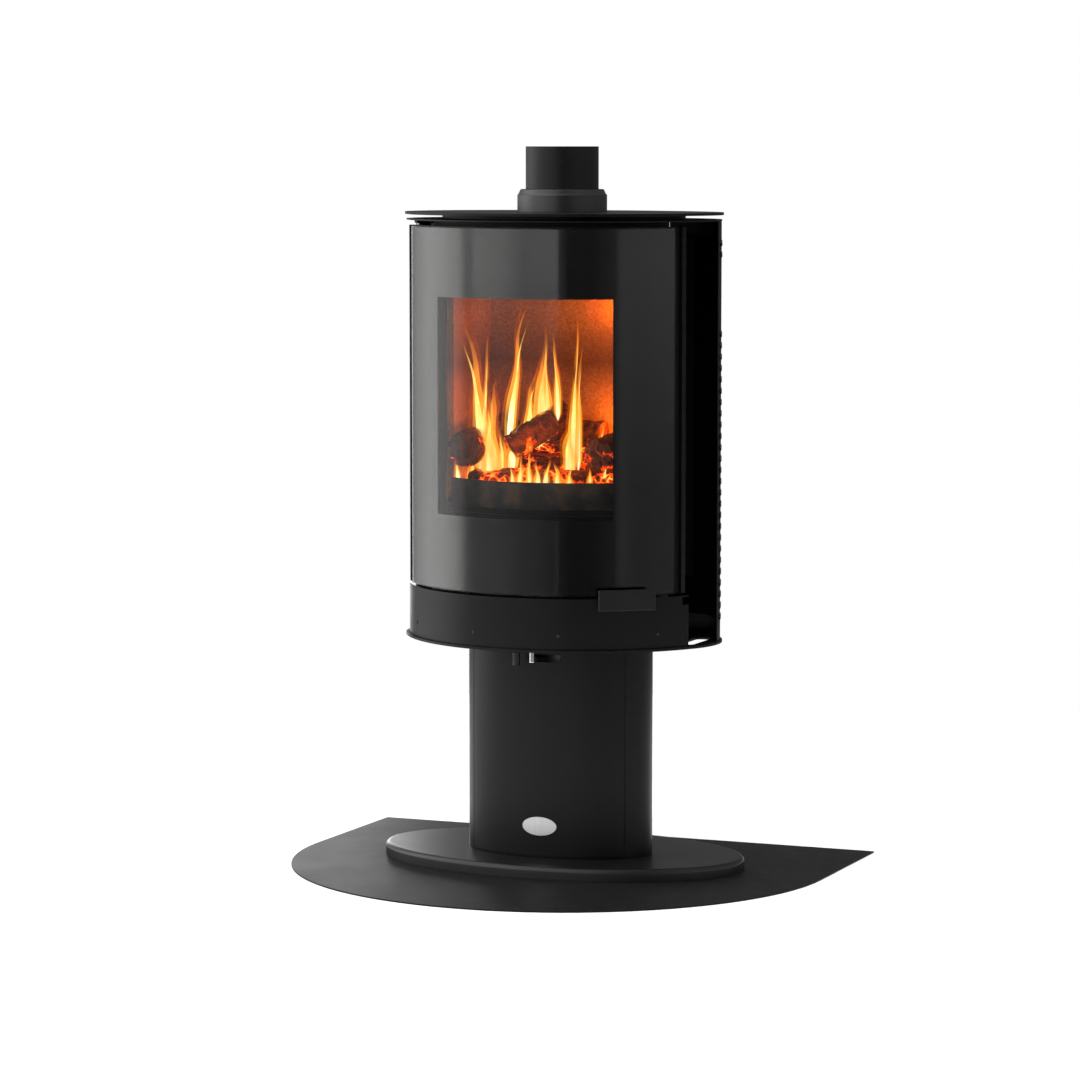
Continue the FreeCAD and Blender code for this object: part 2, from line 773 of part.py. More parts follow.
def make_lining():
    z0, z1 = fire_floor_z, lining_top_z
    x1 = lining_x1
    side_front = arc_y - math.sqrt(shell_r ** 2 - (box_half_width - box_wall) ** 2) + lining_joint * 4
    side = block(x1 - lining_t, x1, side_front, lining_back_y - lining_t - lining_joint, z0, z1)
    save("lining_right", side)
    save("lining_left", mirrored(side))
    y0, y1 = lining_back_y - lining_t, lining_back_y
    save("lining_back_lower", block(-x1, x1, y0, y1, z0, back_split_z))
    save("lining_back_upper", block(-x1, x1, y0, y1, back_split_z + lining_joint, z1))

    plan = front_cylinder(shell_r, shelf_z, z0).fuse(block(-x1, x1, 0, y1, shelf_z, z0))
    floor = block(-x1, x1, arc_y - shell_r, y1, lining_floor_z, z0).common(plan)
    hole = block(-grate_half - lining_joint, grate_half + lining_joint,
                 grate_y0 - lining_joint, grate_y1 + lining_joint, lining_floor_z, z0)
    save("lining_floor", floor.cut(hole).removeSplitter())
    w = box_half_width - box_wall
    shelf = block(-w, w, arc_y - shell_r, box_back_y - box_wall, shelf_z, lining_floor_z).common(plan)
    drop = block(-grate_half + grate_rest, grate_half - grate_rest,
                 grate_y0 + grate_rest, grate_y1 - grate_rest, shelf_z, lining_floor_z)
    save("fire_shelf", shelf.cut(drop).removeSplitter())

    grate = block(-grate_half, grate_half, grate_y0, grate_y1, lining_floor_z, lining_floor_z + grate_t)
    pitch = (grate_half - grate_rest) * 2 / grate_slots
    slots = []
    for i in range(grate_slots):
        x = -grate_half + grate_rest + pitch * (i + 0.5)
        slots.append(block(x - grate_slot_w / 2, x + grate_slot_w / 2, grate_y0 + grate_rest * 1.5,
                           grate_y1 - grate_rest * 1.5, lining_floor_z, lining_floor_z + grate_t))
    save("grate", cut_all(grate, slots))

    save("log_guard", arc_band(guard_r - guard_t, guard_r, -guard_angle, guard_angle, z0, z0 + guard_h))


def make_baffles():
    x1 = lining_x1
    z0 = lining_top_z
    save("baffle_lower", block(-x1, x1, baffle_y0, lining_back_y, z0, z0 + baffle_t))
    z0 = upper_baffle_z
    y0 = max(upper_baffle_y0, arc_y - math.sqrt(guard_r ** 2 - x1 ** 2))
    save("baffle_upper", block(-x1, x1, y0, upper_baffle_y1, z0, z0 + upper_baffle_t))
    wall_x = box_half_width - box_wall
    ledge = block(wall_x - bracket_w, wall_x, y0, upper_baffle_y1, z0 - bracket_t, z0)
    save("baffle_brackets", ledge, mirrored(ledge))
    strip = arc_band(guard_r - air_wash_t, guard_r, -air_wash_angle, air_wash_angle,
                     air_wash_z, box_top_z - box_wall)
    save("air_wash_strip", strip)


def make_ash_pan():
    z0 = box_floor_z + box_wall
    runner = block(pan_half - runner_w * 2, pan_half - runner_w, pan_y0, pan_y1, z0, z0 + runner_h)
    save("ash_pan_runners", runner, mirrored(runner))
    z0 += runner_h
    pan = block(-pan_half, pan_half, pan_y0, pan_y1, z0, z0 + pan_h)
    inside = block(-pan_half + pan_wall, pan_half - pan_wall, pan_y0 + pan_wall, pan_y1 - pan_wall,
                   z0 + pan_wall, z0 + pan_h)
    save("ash_pan", pan.cut(inside))


# ---------------------------------------------------------------- combustion air controls
def make_air_controls():
    w = air_box_half
    wall = block(-w, w, air_box_y0, air_box_y1, bottom_top_z, box_floor_z)
    inside = block(-w + air_box_wall, w - air_box_wall, air_box_y0 + air_box_wall,
                   air_box_y1 - air_box_wall, bottom_top_z, box_floor_z)
    save("air_box", wall.cut(inside))

    damper_top = box_floor_z - damper_drop
    damper_z = damper_top - damper_t
    low = primary_lever_z
    rod_top = V(primary_x, primary_y, damper_z)
    upright = rod(lever_rod_r, V(primary_x, primary_y, low), rod_top)
    half = primary_lever_w / 2
    arm = block(primary_x - half, primary_x + half, knob_y, primary_y, low, low + primary_lever_h)
    lever = joined(upright, arm)
    knob = rod(primary_knob_r, V(primary_x, knob_y, primary_knob_z0),
               V(primary_x, knob_y, primary_knob_z0 + primary_knob_h))
    rims = [e for e in knob.Edges if e.Closed]
    knob = knob.makeFillet(primary_knob_r * 0.6, rims)
    save("primary_air_lever", lever)
    save("primary_air_knob", knob.cut(lever))
    reach = primary_knob_r * 4
    save("primary_damper", block(primary_x - reach, primary_x + reach, primary_y - reach,
                                 primary_y + reach * 0.5, damper_z, damper_top))

    knob_top = start_knob_z0 + start_knob_h
    stem = rod(lever_rod_r, V(start_x, knob_y, knob_top), V(start_x, knob_y, damper_z))
    save("start_air_lever", stem)
    knob = rod(start_knob_r, V(start_x, knob_y, start_knob_z0), V(start_x, knob_y, knob_top))
    rims = [e for e in knob.Edges if e.Closed]
    save("start_air_knob", knob.makeFillet(start_knob_r * 0.3, rims))
    reach = start_knob_r * 2
    save("start_air_damper", block(start_x - reach * 2, start_x + reach, knob_y - reach,
                                   knob_y + reach, damper_z, damper_top))


# ---------------------------------------------------------------- door
def ring_band(r_in, r_out, half, z0, z1, width):
    """A curved rectangular ring on the front arc; half, z0 and z1 give its middle line."""
    outer = front_window(half + width / 2, z0 - width / 2, z1 + width / 2)
    inner = front_window(half - width / 2, z0 + width / 2, z1 - width / 2)
    band = arc_band(r_in, r_out, -front_angle, front_angle, z0 - width, z1 + width)
    return band.common(outer).cut(inner)


def hinge_lug(z0, z1):
    return arc_band(frame_r_in, frame_skin_r1, -door_angle, -hinge_lug_angle, z0, z1)


def make_door():
    z0, z1 = door_z, door_top_z
    window = front_window(window_half, window_z0, window_z1)
    skin = arc_band(frame_skin_r0, frame_skin_r1, -door_angle, door_angle, z0, z1).cut(window)
    low = arc_band(frame_r_in, frame_skin_r0, -door_angle, door_angle, z0, z0 + frame_flange)
    high = arc_band(frame_r_in, frame_skin_r0, -door_angle, door_angle, z1 - frame_flange, z1)
    lip_angle = door_angle - math.degrees(frame_flange * 2 / body_r)
    lip = arc_band(frame_skin_r0, body_r, lip_angle + 0.2, door_angle, z0, z1)
    edge_angle = door_angle - math.degrees(frame_flange / frame_r_in)
    edge = arc_band(frame_r_in, frame_skin_r0, edge_angle, door_angle, z0, z1)
    seat = ring_band(frame_r_in, frame_skin_r0, seal_half, seal_z0, seal_z1, seal_w + frame_flange)
    lugs = [hinge_lug(z0, z0 + hinge_lug_h), hinge_lug(z1 - hinge_lug_h, z1)]
    frame = joined(skin, low, high, lip, mirrored(lip), edge, mirrored(edge), seat, *lugs)
    pin_hole = Part.makeCylinder(hinge_pin_r + hinge_clearance, z1 - z0, on_arc(hinge_r, hinge_angle, z0))
    pivot = on_arc(handle_pivot_r, handle_pivot_angle, z0)
    boss = Part.makeCylinder(frame_skin_r0 - handle_pivot_r, pivot_pin_in + frame_flange, pivot)
    pivot_hole = Part.makeCylinder(pivot_pin_r + pivot_clearance, pivot_pin_in + slot_clearance, pivot)
    save("door_frame", cut_all(joined(frame, boss), [pin_hole, pivot_hole]))

    glass_top = glass_top_z
    save("door_glass", arc_band(glass_r_in, body_r, -glass_angle, glass_angle, glass_z, glass_top))
    reach = glass_angle - glass_margin_angle
    inset = glass_edge * 4
    outer = arc_band(frame_skin_r1, glass_r_in, -reach, reach, glass_z + inset, glass_top - inset)
    opening = reach - gasket_turn
    inner = arc_band(frame_skin_r1 - gasket_nip, glass_r_in + gasket_nip, -opening, opening,
                     glass_z + inset + gasket_w, glass_top - inset - gasket_w)
    rim = ring_band(frame_skin_r1, glass_r_in, window_half + gasket_lap, window_z0 - gasket_lap,
                    window_z1 + gasket_lap, gasket_w)
    save("glass_gasket", outer.cut(inner), rim)
    seal = ring_band(front_r_out + seal_gap, frame_r_in - seal_gap, seal_half, seal_z0, seal_z1, seal_w)
    save("door_seal", seal)


def make_hinges():
    axis_low = on_arc(hinge_r, hinge_angle, 0)
    low_z = door_z - door_gap - hinge_bracket_t + hinge_bracket_rise
    high_z = body_top_z - hinge_bracket_t
    brackets = []
    pins = []
    for z, pin_z0, pin_z1 in (
        (low_z, low_z, door_z + hinge_pin_in),
        (high_z, door_top_z - hinge_pin_in, body_top_z),
    ):
        plate = arc_band(front_r_out, hinge_bracket_r, hinge_angle + hinge_bracket_a0,
                         hinge_angle + hinge_bracket_a1, z, z + hinge_bracket_t)
        hole = Part.makeCylinder(hinge_pin_r, hinge_bracket_t, axis_low + V(0, 0, z))
        brackets.append(plate.cut(hole))
        pins.append(Part.makeCylinder(hinge_pin_r, pin_z1 - pin_z0, axis_low + V(0, 0, pin_z0)))
    save("hinge_brackets", *brackets)
    save("hinge_pins", *pins)


def make_handle():
    grip = arc_band(grip_r, grip_r + grip_t, grip_a0, grip_a1, grip_z0, grip_z1)
    grip = grip.makeFillet(min(grip_round, grip_t * 0.45), grip.Edges)
    save("door_handle", grip)

    z1 = door_z - lever_drop - glass_edge
    z0 = z1 - lever_t
    pivot = on_arc(handle_pivot_r, handle_pivot_angle, 0)
    arm = arc_band(handle_pivot_r - latch_w / 2, grip_r, lever_a0, handle_pivot_angle, z0, z1)
    eye = Part.makeCylinder(latch_w, lever_t, pivot + V(0, 0, z0))
    inward = (V(0, arc_y, 0) - pivot).normalize()
    sideways = V(-inward.y, inward.x, 0)
    tip = pivot + inward * latch_reach
    corners = [pivot - sideways * latch_w * 0.5, tip - sideways * latch_w * 0.5,
               tip + sideways * latch_w * 0.5, pivot + sideways * latch_w * 0.5]
    hook = prism(Part.makePolygon(corners + corners[:1]), lever_t)
    hook.translate(V(0, 0, z0))
    pin = Part.makeCylinder(pivot_pin_r, door_z + pivot_pin_in - z0, pivot + V(0, 0, z0))
    save("handle_lever", joined(arm, eye, hook, pin))

    # The catch stands on the side that the hook turns away from when the grip is pulled out.
    side = pivot + inward * (latch_reach * 0.5) - sideways * (latch_w * 0.5 + latch_clearance)
    corners = [side, side + inward * (latch_reach * 0.5)]
    corners += [corners[1] - sideways * catch_size, corners[0] - sideways * catch_size]
    catch = prism(Part.makePolygon(corners + corners[:1]), lever_t * 2)
    catch.translate(V(0, 0, z0 - lever_t))
    # The tongue that carries it stands on the front plate, under the catch only.
    catch_from = latch_w * 0.5 + latch_clearance
    tongue_a0 = handle_pivot_angle + math.degrees(catch_from / front_r_out)
    tongue_a1 = handle_pivot_angle + math.degrees((catch_from + catch_size) / handle_pivot_r)
    tongue = arc_band(front_r_out, handle_pivot_r - latch_reach * 0.5, tongue_a0, tongue_a1,
                      z0 - lever_t * 2, z0 - lever_t)
    save("latch_catch", joined(catch, tongue))


# ---------------------------------------------------------------- firewood
def make_logs():
    lift = V(0, 0, fire_floor_z)
    save("firewood", *[rod(radius, start + lift, end + lift) for radius, start, end in logs])


make_floor_plate()
make_foot()
make_column()
make_air_supply()
make_bottom_plate()
make_skirt()
make_casing()
make_heat_shield()
make_top()
make_flue()
make_fire_box()
make_lining()
make_baffles()
make_ash_pan()
make_air_controls()
make_door()
make_hinges()
make_handle()
make_logs()
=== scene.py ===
# %% [markdown]
# # A wood burning stove on an oval column
# The stove is one tall black body on a column, a cast foot and a steel floor plate. A curved glass
# door closes its front, and a fire burns behind it. The sizes come from the CAD frame, so every piece
# is built where the frame says and only has to look right. Each step below says what the piece is on
# the real stove, and why it is made the way it is.

# %% Load the frame
import bpy
import bmesh
import math
import random
from mathutils import Matrix, Vector, noise


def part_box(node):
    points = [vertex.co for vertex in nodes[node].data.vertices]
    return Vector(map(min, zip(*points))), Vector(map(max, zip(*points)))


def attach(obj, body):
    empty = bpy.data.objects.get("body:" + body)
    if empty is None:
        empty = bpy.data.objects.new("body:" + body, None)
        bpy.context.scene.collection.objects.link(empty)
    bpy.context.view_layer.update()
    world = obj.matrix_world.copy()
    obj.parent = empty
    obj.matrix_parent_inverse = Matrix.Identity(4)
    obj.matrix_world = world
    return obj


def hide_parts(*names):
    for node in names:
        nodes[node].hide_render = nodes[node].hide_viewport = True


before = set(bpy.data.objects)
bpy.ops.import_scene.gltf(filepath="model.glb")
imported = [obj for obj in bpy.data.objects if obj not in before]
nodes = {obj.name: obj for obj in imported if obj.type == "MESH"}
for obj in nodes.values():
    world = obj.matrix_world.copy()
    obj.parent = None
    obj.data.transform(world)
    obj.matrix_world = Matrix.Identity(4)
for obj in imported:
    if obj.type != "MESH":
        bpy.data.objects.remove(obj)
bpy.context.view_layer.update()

# %% [markdown]
# ## Camera, lights and floor
# The camera comes first, because every look is judged through it. The stove stands on a pale floor
# in a studio. Black paint and dark glass show almost nothing of their own, only what they mirror, so
# the walls of the studio matter more than the lamps. They are painted into the world as bands of
# light and dark round the stove: a soft bright wall on the left, a narrow panel in front, a black
# flag right of it, and a dim wall on the right.

# %% Camera
camera_place = Vector((2.926, -7.118, 1.380))
camera_target = Vector((-0.039, -0.0163, 0.626))
camera_data = bpy.data.cameras.new("studio_camera")
camera_data.lens = 134.3
camera_data.sensor_width = 36.0
camera = bpy.data.objects.new("studio_camera", camera_data)
camera.location = camera_place
camera.rotation_euler = (camera_target - camera_place).to_track_quat("-Z", "Y").to_euler()
bpy.context.scene.collection.objects.link(camera)
bpy.context.scene.camera = camera
bpy.context.scene.view_settings.view_transform = "Standard"
bpy.context.scene.cycles.transparent_max_bounces = 40
print("camera at", tuple(round(c, 2) for c in camera_place))

# %% [markdown]
# ### The studio walls
# A world shader gets the direction of each ray. Its azimuth is the arc tangent of x and y, from 0 in
# front of the door towards +X, and a colour ramp turns it into the brightness of the wall there. Rays
# that come straight from the camera see plain white instead, which a Light Path node sorts out.

# %% Studio walls
# Azimuth in degrees from the front of the stove, then the brightness of the wall in that direction.
studio_walls = (
    (-180, 0.12), (-150, 0.15), (-128, 0.30), (-112, 0.80), (-97, 1.50), (-83, 1.95), (-69, 1.95),
    (-64, 1.55), (-60, 1.00), (-55, 1.10), (-52, 1.50), (-42, 1.45), (-30, 1.35), (-19, 1.00), (-16, 0.90),
    (-8, 0.95), (6.5, 0.95), (8.5, 0.26), (14, 0.09), (30, 0.08), (45, 0.16),
    (49, 0.38), (88, 0.44), (110, 0.34), (150, 0.20), (180, 0.12),
)


def node(tree, kind, **sockets):
    """Adds a shader node; a socket gets a value, or is joined to another node's output."""
    made = tree.nodes.new(kind)
    for name, value in sockets.items():
        key = name.replace("_", " ")
        wire(tree, made, key, value)
    return made


def wire(tree, made, key, value):
    """Sets one input of a node, by name or number, from a value or an output."""
    socket = made.inputs[key]
    if isinstance(value, bpy.types.NodeSocket):
        tree.links.new(value, socket)
    else:
        socket.default_value = value


def maths(tree, operation, *values):
    """A Math node with its inputs in order."""
    made = tree.nodes.new("ShaderNodeMath")
    made.operation = operation
    for number, value in enumerate(values):
        wire(tree, made, number, value)
    return made.outputs[0]


def ramp(tree, factor, stops):
    """A colour ramp; each stop is a place from 0 to 1 and a grey or a colour."""
    made = tree.nodes.new("ShaderNodeValToRGB")
    tree.links.new(factor, made.inputs["Fac"])
    elements = made.color_ramp.elements
    while len(elements) < len(stops):
        elements.new(1.0)
    for element, (place, _) in zip(elements, stops):
        element.position = place
    for element, (_, colour) in zip(elements, stops):
        shade = (colour, colour, colour) if isinstance(colour, (int, float)) else colour
        element.color = (*shade[:3], 1.0)
    return made.outputs["Color"]


def mixed(tree, factor, first, second, blend="MIX"):
    """A colour mix."""
    made = tree.nodes.new("ShaderNodeMixRGB")
    made.blend_type = blend
    wire(tree, made, "Fac", factor)
    wire(tree, made, "Color1", first)
    wire(tree, made, "Color2", second)
    return made.outputs["Color"]


def stretched(tree, scale):
    """Object coordinates, stretched by a scale along each axis."""
    place = node(tree, "ShaderNodeTexCoord").outputs["Object"]
    return node(tree, "ShaderNodeMapping", Vector=place, Scale=scale).outputs["Vector"]


def height_of(tree):
    """How high a point of the object is, in metres."""
    return node(tree, "ShaderNodeSeparateXYZ", Vector=stretched(tree, (1.0, 1.0, 1.0))).outputs["Z"]


def speckle(tree, scale, detail, stretch=(1.0, 1.0, 1.0)):
    """Noise that is fixed to the object, from 0 to 1."""
    place = stretched(tree, stretch)
    return node(tree, "ShaderNodeTexNoise", Vector=place, Scale=scale, Detail=detail).outputs["Fac"]


def remap(tree, value, low, high, to_low=0.0, to_high=1.0):
    """Spreads the span from low to high over 0 to 1, or another span, and clips what lies outside."""
    made = node(tree, "ShaderNodeMapRange", Value=value, From_Min=low, From_Max=high,
                To_Min=to_low, To_Max=to_high)
    return made.outputs["Result"]


world = bpy.data.worlds.new("studio")
bpy.context.scene.world = world
world.use_nodes = True
sky = world.node_tree
background = sky.nodes["Background"]
direction = node(sky, "ShaderNodeSeparateXYZ", Vector=node(sky, "ShaderNodeTexCoord").outputs["Generated"])
flipped_y = maths(sky, "MULTIPLY", direction.outputs["Y"], -1.0)
azimuth = maths(sky, "ARCTAN2", direction.outputs["X"], flipped_y)
turn = maths(sky, "MULTIPLY_ADD", azimuth, 0.5 / math.pi, 0.5)
brightest_wall = 2.0
wall_light = ramp(sky, turn, [(a / 360 + 0.5, level / brightest_wall) for a, level in studio_walls])
# Below eye level the walls are darker, by a share that also changes with the azimuth.
wall_feet = ((-180, 1.0), (-75, 1.0), (-62, 0.8), (-52, 0.30), (-12, 0.30), (5, 0.17), (14, 0.7), (45, 0.75),
             (60, 0.5), (180, 0.5))
foot_share = ramp(sky, turn, [(a / 360 + 0.5, share) for a, share in wall_feet])
foot_level = remap(sky, direction.outputs["Z"], -0.030, -0.085)
overhead = ramp(sky, direction.outputs["Z"], [(0.0, 1.0), (0.35, 1.0), (0.75, 0.75)])
walls = mixed(sky, 1.0, wall_light, overhead, "MULTIPLY")
walls = mixed(sky, foot_level, walls, foot_share, "MULTIPLY")
plain_white = (1 / brightest_wall, 1 / brightest_wall, 1 / brightest_wall, 1.0)
seen = mixed(sky, node(sky, "ShaderNodeLightPath").outputs["Is Camera Ray"], walls, plain_white)
wire(sky, background, "Color", seen)
wire(sky, background, "Strength", brightest_wall)
print("studio wall bands", len(studio_walls))

# %% [markdown]
# ### Lamps and floor
# Three large area lamps add the broad light that the walls can't: one overhead for the floor and the
# plates, one low on the left that brightens the left edges, and a weak one behind. The floor is a pale
# disc with a slightly uneven surface.

# %% Lamps and floor
def lamp(name, place, target, size, power, mirrored=False):
    """A square soft box that faces its target; only a mirrored one shows up in gloss."""
    data = bpy.data.lights.new(name, "AREA")
    data.size = size
    data.energy = power
    made = bpy.data.objects.new(name, data)
    made.location = place
    made.rotation_euler = (Vector(target) - Vector(place)).to_track_quat("-Z", "Y").to_euler()
    made.visible_camera = False
    made.visible_glossy = mirrored
    made.visible_transmission = False
    bpy.context.scene.collection.objects.link(made)
    return made


lamp("overhead_box", (0.0, -0.3, 4.2), (0.0, 0.0, 0.0), 3.6, 230.0)
lamp("left_box", (-3.2, -1.4, 1.6), (0.0, 0.0, 0.4), 1.6, 40.0)
lamp("rear_box", (-2.3, 2.9, 0.55), (-0.3, 0.0, 0.1), 1.1, 18.0, mirrored=True)

floor_radius = 2.4
floor_bm = bmesh.new()
bmesh.ops.create_circle(floor_bm, cap_ends=True, radius=floor_radius, segments=128)
floor_mesh = bpy.data.meshes.new("studio_floor")
floor_bm.to_mesh(floor_mesh)
floor_bm.free()
studio_floor = bpy.data.objects.new("studio_floor", floor_mesh)
bpy.context.scene.collection.objects.link(studio_floor)
floor_paint = bpy.data.materials.new("studio_floor_paint")
floor_paint.use_nodes = True
floor_tree = floor_paint.node_tree
floor_shader = floor_tree.nodes["Principled BSDF"]
wire(floor_tree, floor_shader, "Base Color",
     ramp(floor_tree, speckle(floor_tree, 3.0, 3.0), [(0.3, 0.90), (0.7, 0.93)]))
wire(floor_tree, floor_shader, "Roughness", 0.9)
wire(floor_tree, floor_shader, "Specular IOR Level", 0.1)
floor_mesh.materials.append(floor_paint)
print("floor radius", floor_radius)

# %% [markdown]
# ## Shared effects
# Several finishes share the same effects: the fine grain of stove paint, worn edges, settled dust,
# the streaks of brushed metal, soot and cracked charcoal. Each is a node group, built once and placed
# in a material with its own values. A group can only hand out colours, masks and heights, so the
# Principled shader itself stays in the material.

# %% A helper that starts a node group
def effect(name, inputs, outputs):
    """An empty shader node group with named inputs and outputs."""
    group = bpy.data.node_groups.new(name, "ShaderNodeTree")
    for label, kind, default in inputs:
        socket = group.interface.new_socket(name=label, in_out="INPUT", socket_type=kind)
        socket.default_value = default
    for label, kind in outputs:
        group.interface.new_socket(name=label, in_out="OUTPUT", socket_type=kind)
    return group, group.nodes.new("NodeGroupInput").outputs, group.nodes.new("NodeGroupOutput")


FLOAT = "NodeSocketFloat"
COLOUR = "NodeSocketColor"

# %% [markdown]
# ### Paint grain
# Heat-proof stove paint dries to a fine, slightly sandy film whose colour drifts a little over a hand's
# width. A fine noise makes the sand, and a coarse one the drift.

# %% Paint grain
grain_group, g_in, g_out = effect(
    "paint_grain",
    [("Colour", COLOUR, (0.02, 0.02, 0.02, 1.0)), ("Roughness", FLOAT, 0.5), ("Grain", FLOAT, 900.0),
     ("Drift", FLOAT, 0.15)],
    [("Colour", COLOUR), ("Roughness", FLOAT), ("Height", FLOAT)])
g_fine = speckle(grain_group, g_in["Grain"], 2.0)
g_coarse = speckle(grain_group, 7.0, 4.0)
g_drift = maths(grain_group, "MULTIPLY_ADD", g_coarse, g_in["Drift"], 1.0)
g_sand = maths(grain_group, "MULTIPLY_ADD", g_fine, g_in["Drift"], g_drift)
g_bright = grain_group.nodes.new("ShaderNodeVectorMath")
g_bright.operation = "SCALE"
wire(grain_group, g_bright, 0, g_in["Colour"])
wire(grain_group, g_bright, "Scale", g_sand)
g_rough = maths(grain_group, "MULTIPLY_ADD", g_coarse, 0.12, g_in["Roughness"])
wire(grain_group, g_out, "Colour", g_bright.outputs[0])
wire(grain_group, g_out, "Roughness", maths(grain_group, "SUBTRACT", g_rough, 0.06))
wire(grain_group, g_out, "Height", g_fine)
print("group", grain_group.name)

# %% [markdown]
# ### Worn edges and settled dust
# Handling rubs the paint thin on outer edges, which Geometry's Pointiness finds on a mesh with bevelled
# edges. Dust and ash settle on what faces up, so the z of the normal, broken up by noise, is its mask.

# %% Worn edges and settled dust
wear_group, w_in, w_out = effect("worn_edge", [("Amount", FLOAT, 0.5)], [("Mask", FLOAT)])
w_point = node(wear_group, "ShaderNodeNewGeometry").outputs["Pointiness"]
w_edge = remap(wear_group, w_point, 0.53, 0.62)
w_mask = maths(wear_group, "MULTIPLY", w_edge, remap(wear_group, speckle(wear_group, 60.0, 5.0), 0.4, 0.62))
wire(wear_group, w_out, "Mask", maths(wear_group, "MULTIPLY", w_mask, w_in["Amount"]))

dust_group, d_in, d_out = effect("settled_dust", [("Amount", FLOAT, 0.3)], [("Mask", FLOAT)])
d_faces = node(dust_group, "ShaderNodeNewGeometry").outputs["Normal"]
d_up = remap(dust_group, node(dust_group, "ShaderNodeSeparateXYZ", Vector=d_faces).outputs["Z"], 0.5, 1.0)
d_mask = maths(dust_group, "MULTIPLY", d_up, remap(dust_group, speckle(dust_group, 26.0, 8.0), 0.35, 0.75))
wire(dust_group, d_out, "Mask", maths(dust_group, "MULTIPLY", d_mask, d_in["Amount"]))
print("groups", wear_group.name, dust_group.name)

# %% [markdown]
# ### Brushed streaks and soot
# Rolled or turned metal carries fine parallel scratches: a noise stretched along one axis. Soot lies
# thickest high up inside the fire box and thins out in ragged tongues lower down.

# %% Brushed streaks and soot
brush_group, b_in, b_out = effect("brushed", [("Scale", FLOAT, 400.0)], [("Streak", FLOAT)])
wire(brush_group, b_out, "Streak", speckle(brush_group, b_in["Scale"], 3.0, (1.0, 1.0, 0.03)))

soot_group, s_in, s_out = effect(
    "soot", [("From Height", FLOAT, 0.75), ("To Height", FLOAT, 1.1), ("Amount", FLOAT, 0.8)],
    [("Mask", FLOAT)])
s_ragged = maths(soot_group, "MULTIPLY_ADD", speckle(soot_group, 16.0, 7.0, (1.0, 1.0, 0.35)), 0.35,
                 height_of(soot_group))
s_low = maths(soot_group, "ADD", s_in["From Height"], 0.17)
s_high = maths(soot_group, "ADD", s_in["To Height"], 0.17)
s_level = remap(soot_group, s_ragged, s_low, s_high)
wire(soot_group, s_out, "Mask", maths(soot_group, "MULTIPLY", s_level, s_in["Amount"]))
print("groups", brush_group.name, soot_group.name)

# %% [markdown]
# ## Finishes
# A small helper opens a material and hands back its tree and its Principled shader. Values that are the
# same all over are set on the shader's own sockets, and only what changes over the surface is wired.

# %% Material helpers
finishes = {}


def finish(name):
    """A new material with its tree and Principled shader."""
    made = bpy.data.materials.new(name)
    made.use_nodes = True
    finishes[name] = made
    return made, made.node_tree, made.node_tree.nodes["Principled BSDF"]


def placed(tree, group, **values):
    """Places a shared effect in a material."""
    made = tree.nodes.new("ShaderNodeGroup")
    made.node_tree = group
    for name, value in values.items():
        wire(tree, made, name.replace("_", " "), value)
    return made


def bumped(tree, shader, height, strength, distance):
    """Wires a height to the shader through a Bump node."""
    made = node(tree, "ShaderNodeBump", Height=height, Strength=strength, Distance=distance)
    wire(tree, shader, "Normal", made.outputs["Normal"])


def rgb(red, green, blue):
    return (red, green, blue, 1.0)


# %% [markdown]
# ### Painted steel
# Body, column, door and pipe are sheet steel in black stove paint. One function makes them all, with
# their own colour, sheen and grain, worn edges that show bare grey steel, and a trace of dust on top.

# %% Painted steel
def stove_paint(name, colour, roughness, grain=900.0, drift=0.25, bump=0.10, dust=0.10, wear=0.35,
                specular=0.30):
    """A black paint on steel or iron."""
    made, tree, shader = finish(name)
    film = placed(tree, grain_group, Colour=colour, Roughness=roughness, Grain=grain, Drift=drift)
    worn = placed(tree, wear_group, Amount=wear).outputs["Mask"]
    dusty = placed(tree, dust_group, Amount=dust).outputs["Mask"]
    shade = mixed(tree, worn, film.outputs["Colour"], rgb(0.05, 0.05, 0.052))
    shade = mixed(tree, dusty, shade, rgb(0.08, 0.078, 0.075))
    wire(tree, shader, "Base Color", shade)
    wire(tree, shader, "Roughness", film.outputs["Roughness"])
    wire(tree, shader, "Metallic", maths(tree, "MULTIPLY", worn, 0.8))
    wire(tree, shader, "Specular IOR Level", specular)
    bumped(tree, shader, film.outputs["Height"], bump, 0.0004)
    return made


stove_paint("black_steel", rgb(0.0022, 0.0022, 0.0023), 0.34, specular=0.19)
stove_paint("casing_steel", rgb(0.0022, 0.0022, 0.0023), 0.42, specular=0.2)
stove_paint("door_steel", rgb(0.0020, 0.0020, 0.0021), 0.44, specular=0.2)
stove_paint("handle_steel", rgb(0.006, 0.006, 0.006), 0.32, wear=0.6)
stove_paint("stove_steel", rgb(0.008, 0.0075, 0.007), 0.60, drift=0.5, dust=0.3)
stove_paint("flue_steel", rgb(0.0055, 0.0055, 0.0055), 0.40)
stove_paint("floor_steel", rgb(0.0062, 0.0064, 0.0070), 0.48, grain=520.0, bump=0.25, dust=0.03, specular=0.12)
stove_paint("foot_casting", rgb(0.0045, 0.0046, 0.0048), 0.33, grain=300.0, bump=0.30, drift=0.35,
            dust=0.04, specular=0.7)
stove_paint("flue_casting", rgb(0.006, 0.006, 0.006), 0.36, grain=300.0, bump=0.30, drift=0.35, specular=0.9)
# A near-black matte finish for the sheet of painted shade behind the vent slots.
stove_paint("vent_shade_black", rgb(0.0014, 0.0014, 0.0014), 0.80, grain=1500.0, bump=0.6, dust=0.0,
            wear=0.0, specular=0.05)
print("painted finishes", len(finishes))

# %% [markdown]
# ### Bare metals
# Zinc plate, galvanised sheet, turned steel and chrome differ in colour, roughness and pattern. All
# take the brushed group; galvanised sheet adds the spangle of its zinc crystals.

